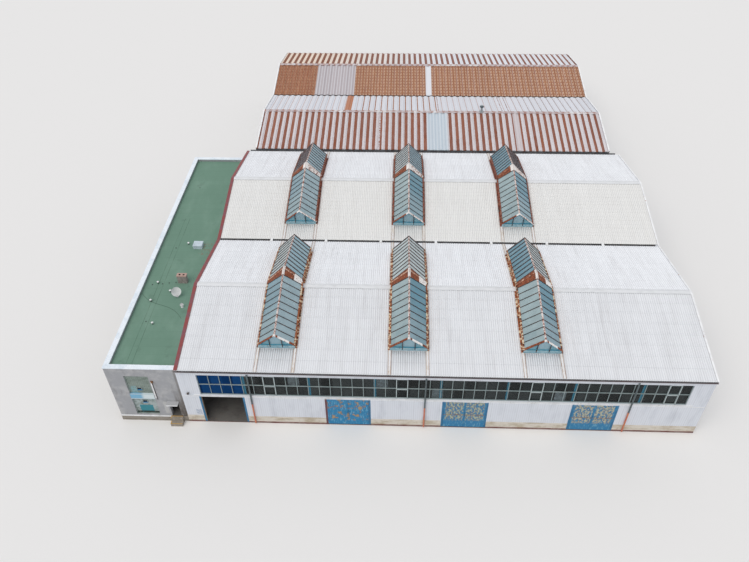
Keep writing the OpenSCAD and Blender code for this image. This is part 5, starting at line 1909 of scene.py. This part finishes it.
@dataclass
class Studio:
    """The floor, the light and the camera."""

    camera_at: Triple = (9.94947, -19.65487, 26.75792)
    yaw: float = -0.0455984
    pitch: float = 0.7268387
    roll: float = -0.0136817
    focal_px: float = 676.6285
    image_w: float = 749.0
    sensor: float = 36.0
    clip_end: float = 1000.0
    floor_half: float = 300.0
    floor_code: str = "#E9E9E8"
    sky_light: float = 0.64
    sky_code: str = "#F6F8FF"
    sun_light: float = 1.45
    sun_code: str = "#FFF9F0"
    sun_elevation: float = math.radians(58)
    sun_side: float = math.radians(-30)
    sun_spread: float = math.radians(50)

    def floor(self) -> None:
        """A pale plain floor, well past the view."""
        half = self.floor_half
        mesh = bpy.data.meshes.new("floor")
        mesh.from_pydata([(-half, -half, 0), (half, -half, 0), (half, half, 0), (-half, half, 0)], [],
                         [(0, 1, 2, 3)])
        floor = bpy.data.objects.new("floor", mesh)
        bpy.context.collection.objects.link(floor)
        material = bpy.data.materials.new("floor_paper")
        material.use_nodes = True
        shader = next(n for n in material.node_tree.nodes if n.type == "BSDF_PRINCIPLED")
        shader.inputs["Base Color"].default_value = srgb(self.floor_code)
        shader.inputs["Roughness"].default_value = 0.95
        shader.inputs["Specular IOR Level"].default_value = 0.0
        mesh.materials.append(material)

    def world(self) -> None:
        """A soft even sky that the camera and reflections see as white."""
        world = bpy.data.worlds.new("studio")
        bpy.context.scene.world = world
        world.use_nodes = True
        world.node_tree.nodes.clear()
        graph = Graph(world.node_tree)
        rays = graph.add("ShaderNodeLightPath")
        direct = graph.math("MAXIMUM", rays.outputs["Is Camera Ray"], rays.outputs["Is Glossy Ray"])
        seen = graph.math("MAXIMUM", direct, rays.outputs["Is Transmission Ray"])
        dim = {"Color": srgb(self.sky_code), "Strength": self.sky_light}
        light = graph.add("ShaderNodeBackground", dim)
        shown = graph.add("ShaderNodeBackground", {"Color": (1, 1, 1, 1), "Strength": 1.0})
        mixed = graph.add("ShaderNodeMixShader", {0: seen, 1: light.outputs[0], 2: shown.outputs[0]})
        graph.add("ShaderNodeOutputWorld", {0: mixed.outputs[0]})

    def sun(self) -> None:
        """One wide soft light from the front left."""
        data = bpy.data.lights.new("soft_sun", "SUN")
        data.energy = self.sun_light
        data.angle = self.sun_spread
        data.color = srgb(self.sun_code)[:3]
        lamp = bpy.data.objects.new("soft_sun", data)
        bpy.context.collection.objects.link(lamp)
        lamp.rotation_euler = (math.pi / 2 - self.sun_elevation, 0, self.sun_side)

    def camera(self, site: Site) -> None:
        """The camera at the photograph's place."""
        forward = Vector((math.sin(self.yaw) * math.cos(self.pitch),
                          math.cos(self.yaw) * math.cos(self.pitch), -math.sin(self.pitch)))
        level = Vector((math.cos(self.yaw), -math.sin(self.yaw), 0))
        upright = level.cross(forward)
        right = math.cos(self.roll) * level + math.sin(self.roll) * upright
        up = -math.sin(self.roll) * level + math.cos(self.roll) * upright
        data = bpy.data.cameras.new("photo_camera")
        data.sensor_width = self.sensor
        data.lens = self.focal_px / self.image_w * self.sensor
        data.clip_end = self.clip_end
        camera = bpy.data.objects.new("photo_camera", data)
        bpy.context.collection.objects.link(camera)
        turn = Matrix((right, up, -forward)).transposed().to_4x4()
        camera.matrix_world = Matrix.Translation(site.origin + Vector(self.camera_at)) @ turn
        bpy.context.scene.camera = camera

    def build(self, site: Site) -> None:
        """Sets up the whole studio."""
        self.floor()
        self.world()
        self.sun()
        self.camera(site)
        bpy.context.scene.view_settings.view_transform = "Standard"


def record_slots(record: dict) -> dict[str, str]:
    """Slot name by node name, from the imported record."""
    return {part["node"]: part["material_slot"] for part in record["subparts"]}


def main() -> None:
    """Builds the looks in order."""
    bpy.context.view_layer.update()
    site = Site.measured()
    paint = Paint(Workshop(site, Effects()))
    Dresser(paint).dress(frame["nodes"], record_slots(frame["record"]))
    kit = Kit(site, paint)
    for assembly in (WhiteRoof(kit), Rooflights(kit), SmallFittings(kit)):
        assembly.build()
        LOG.info("built %s", type(assembly).__name__)
    Studio().build(site)


if __name__ == "__main__":
    logging.basicConfig(level=logging.INFO, format="%(message)s")
    main()
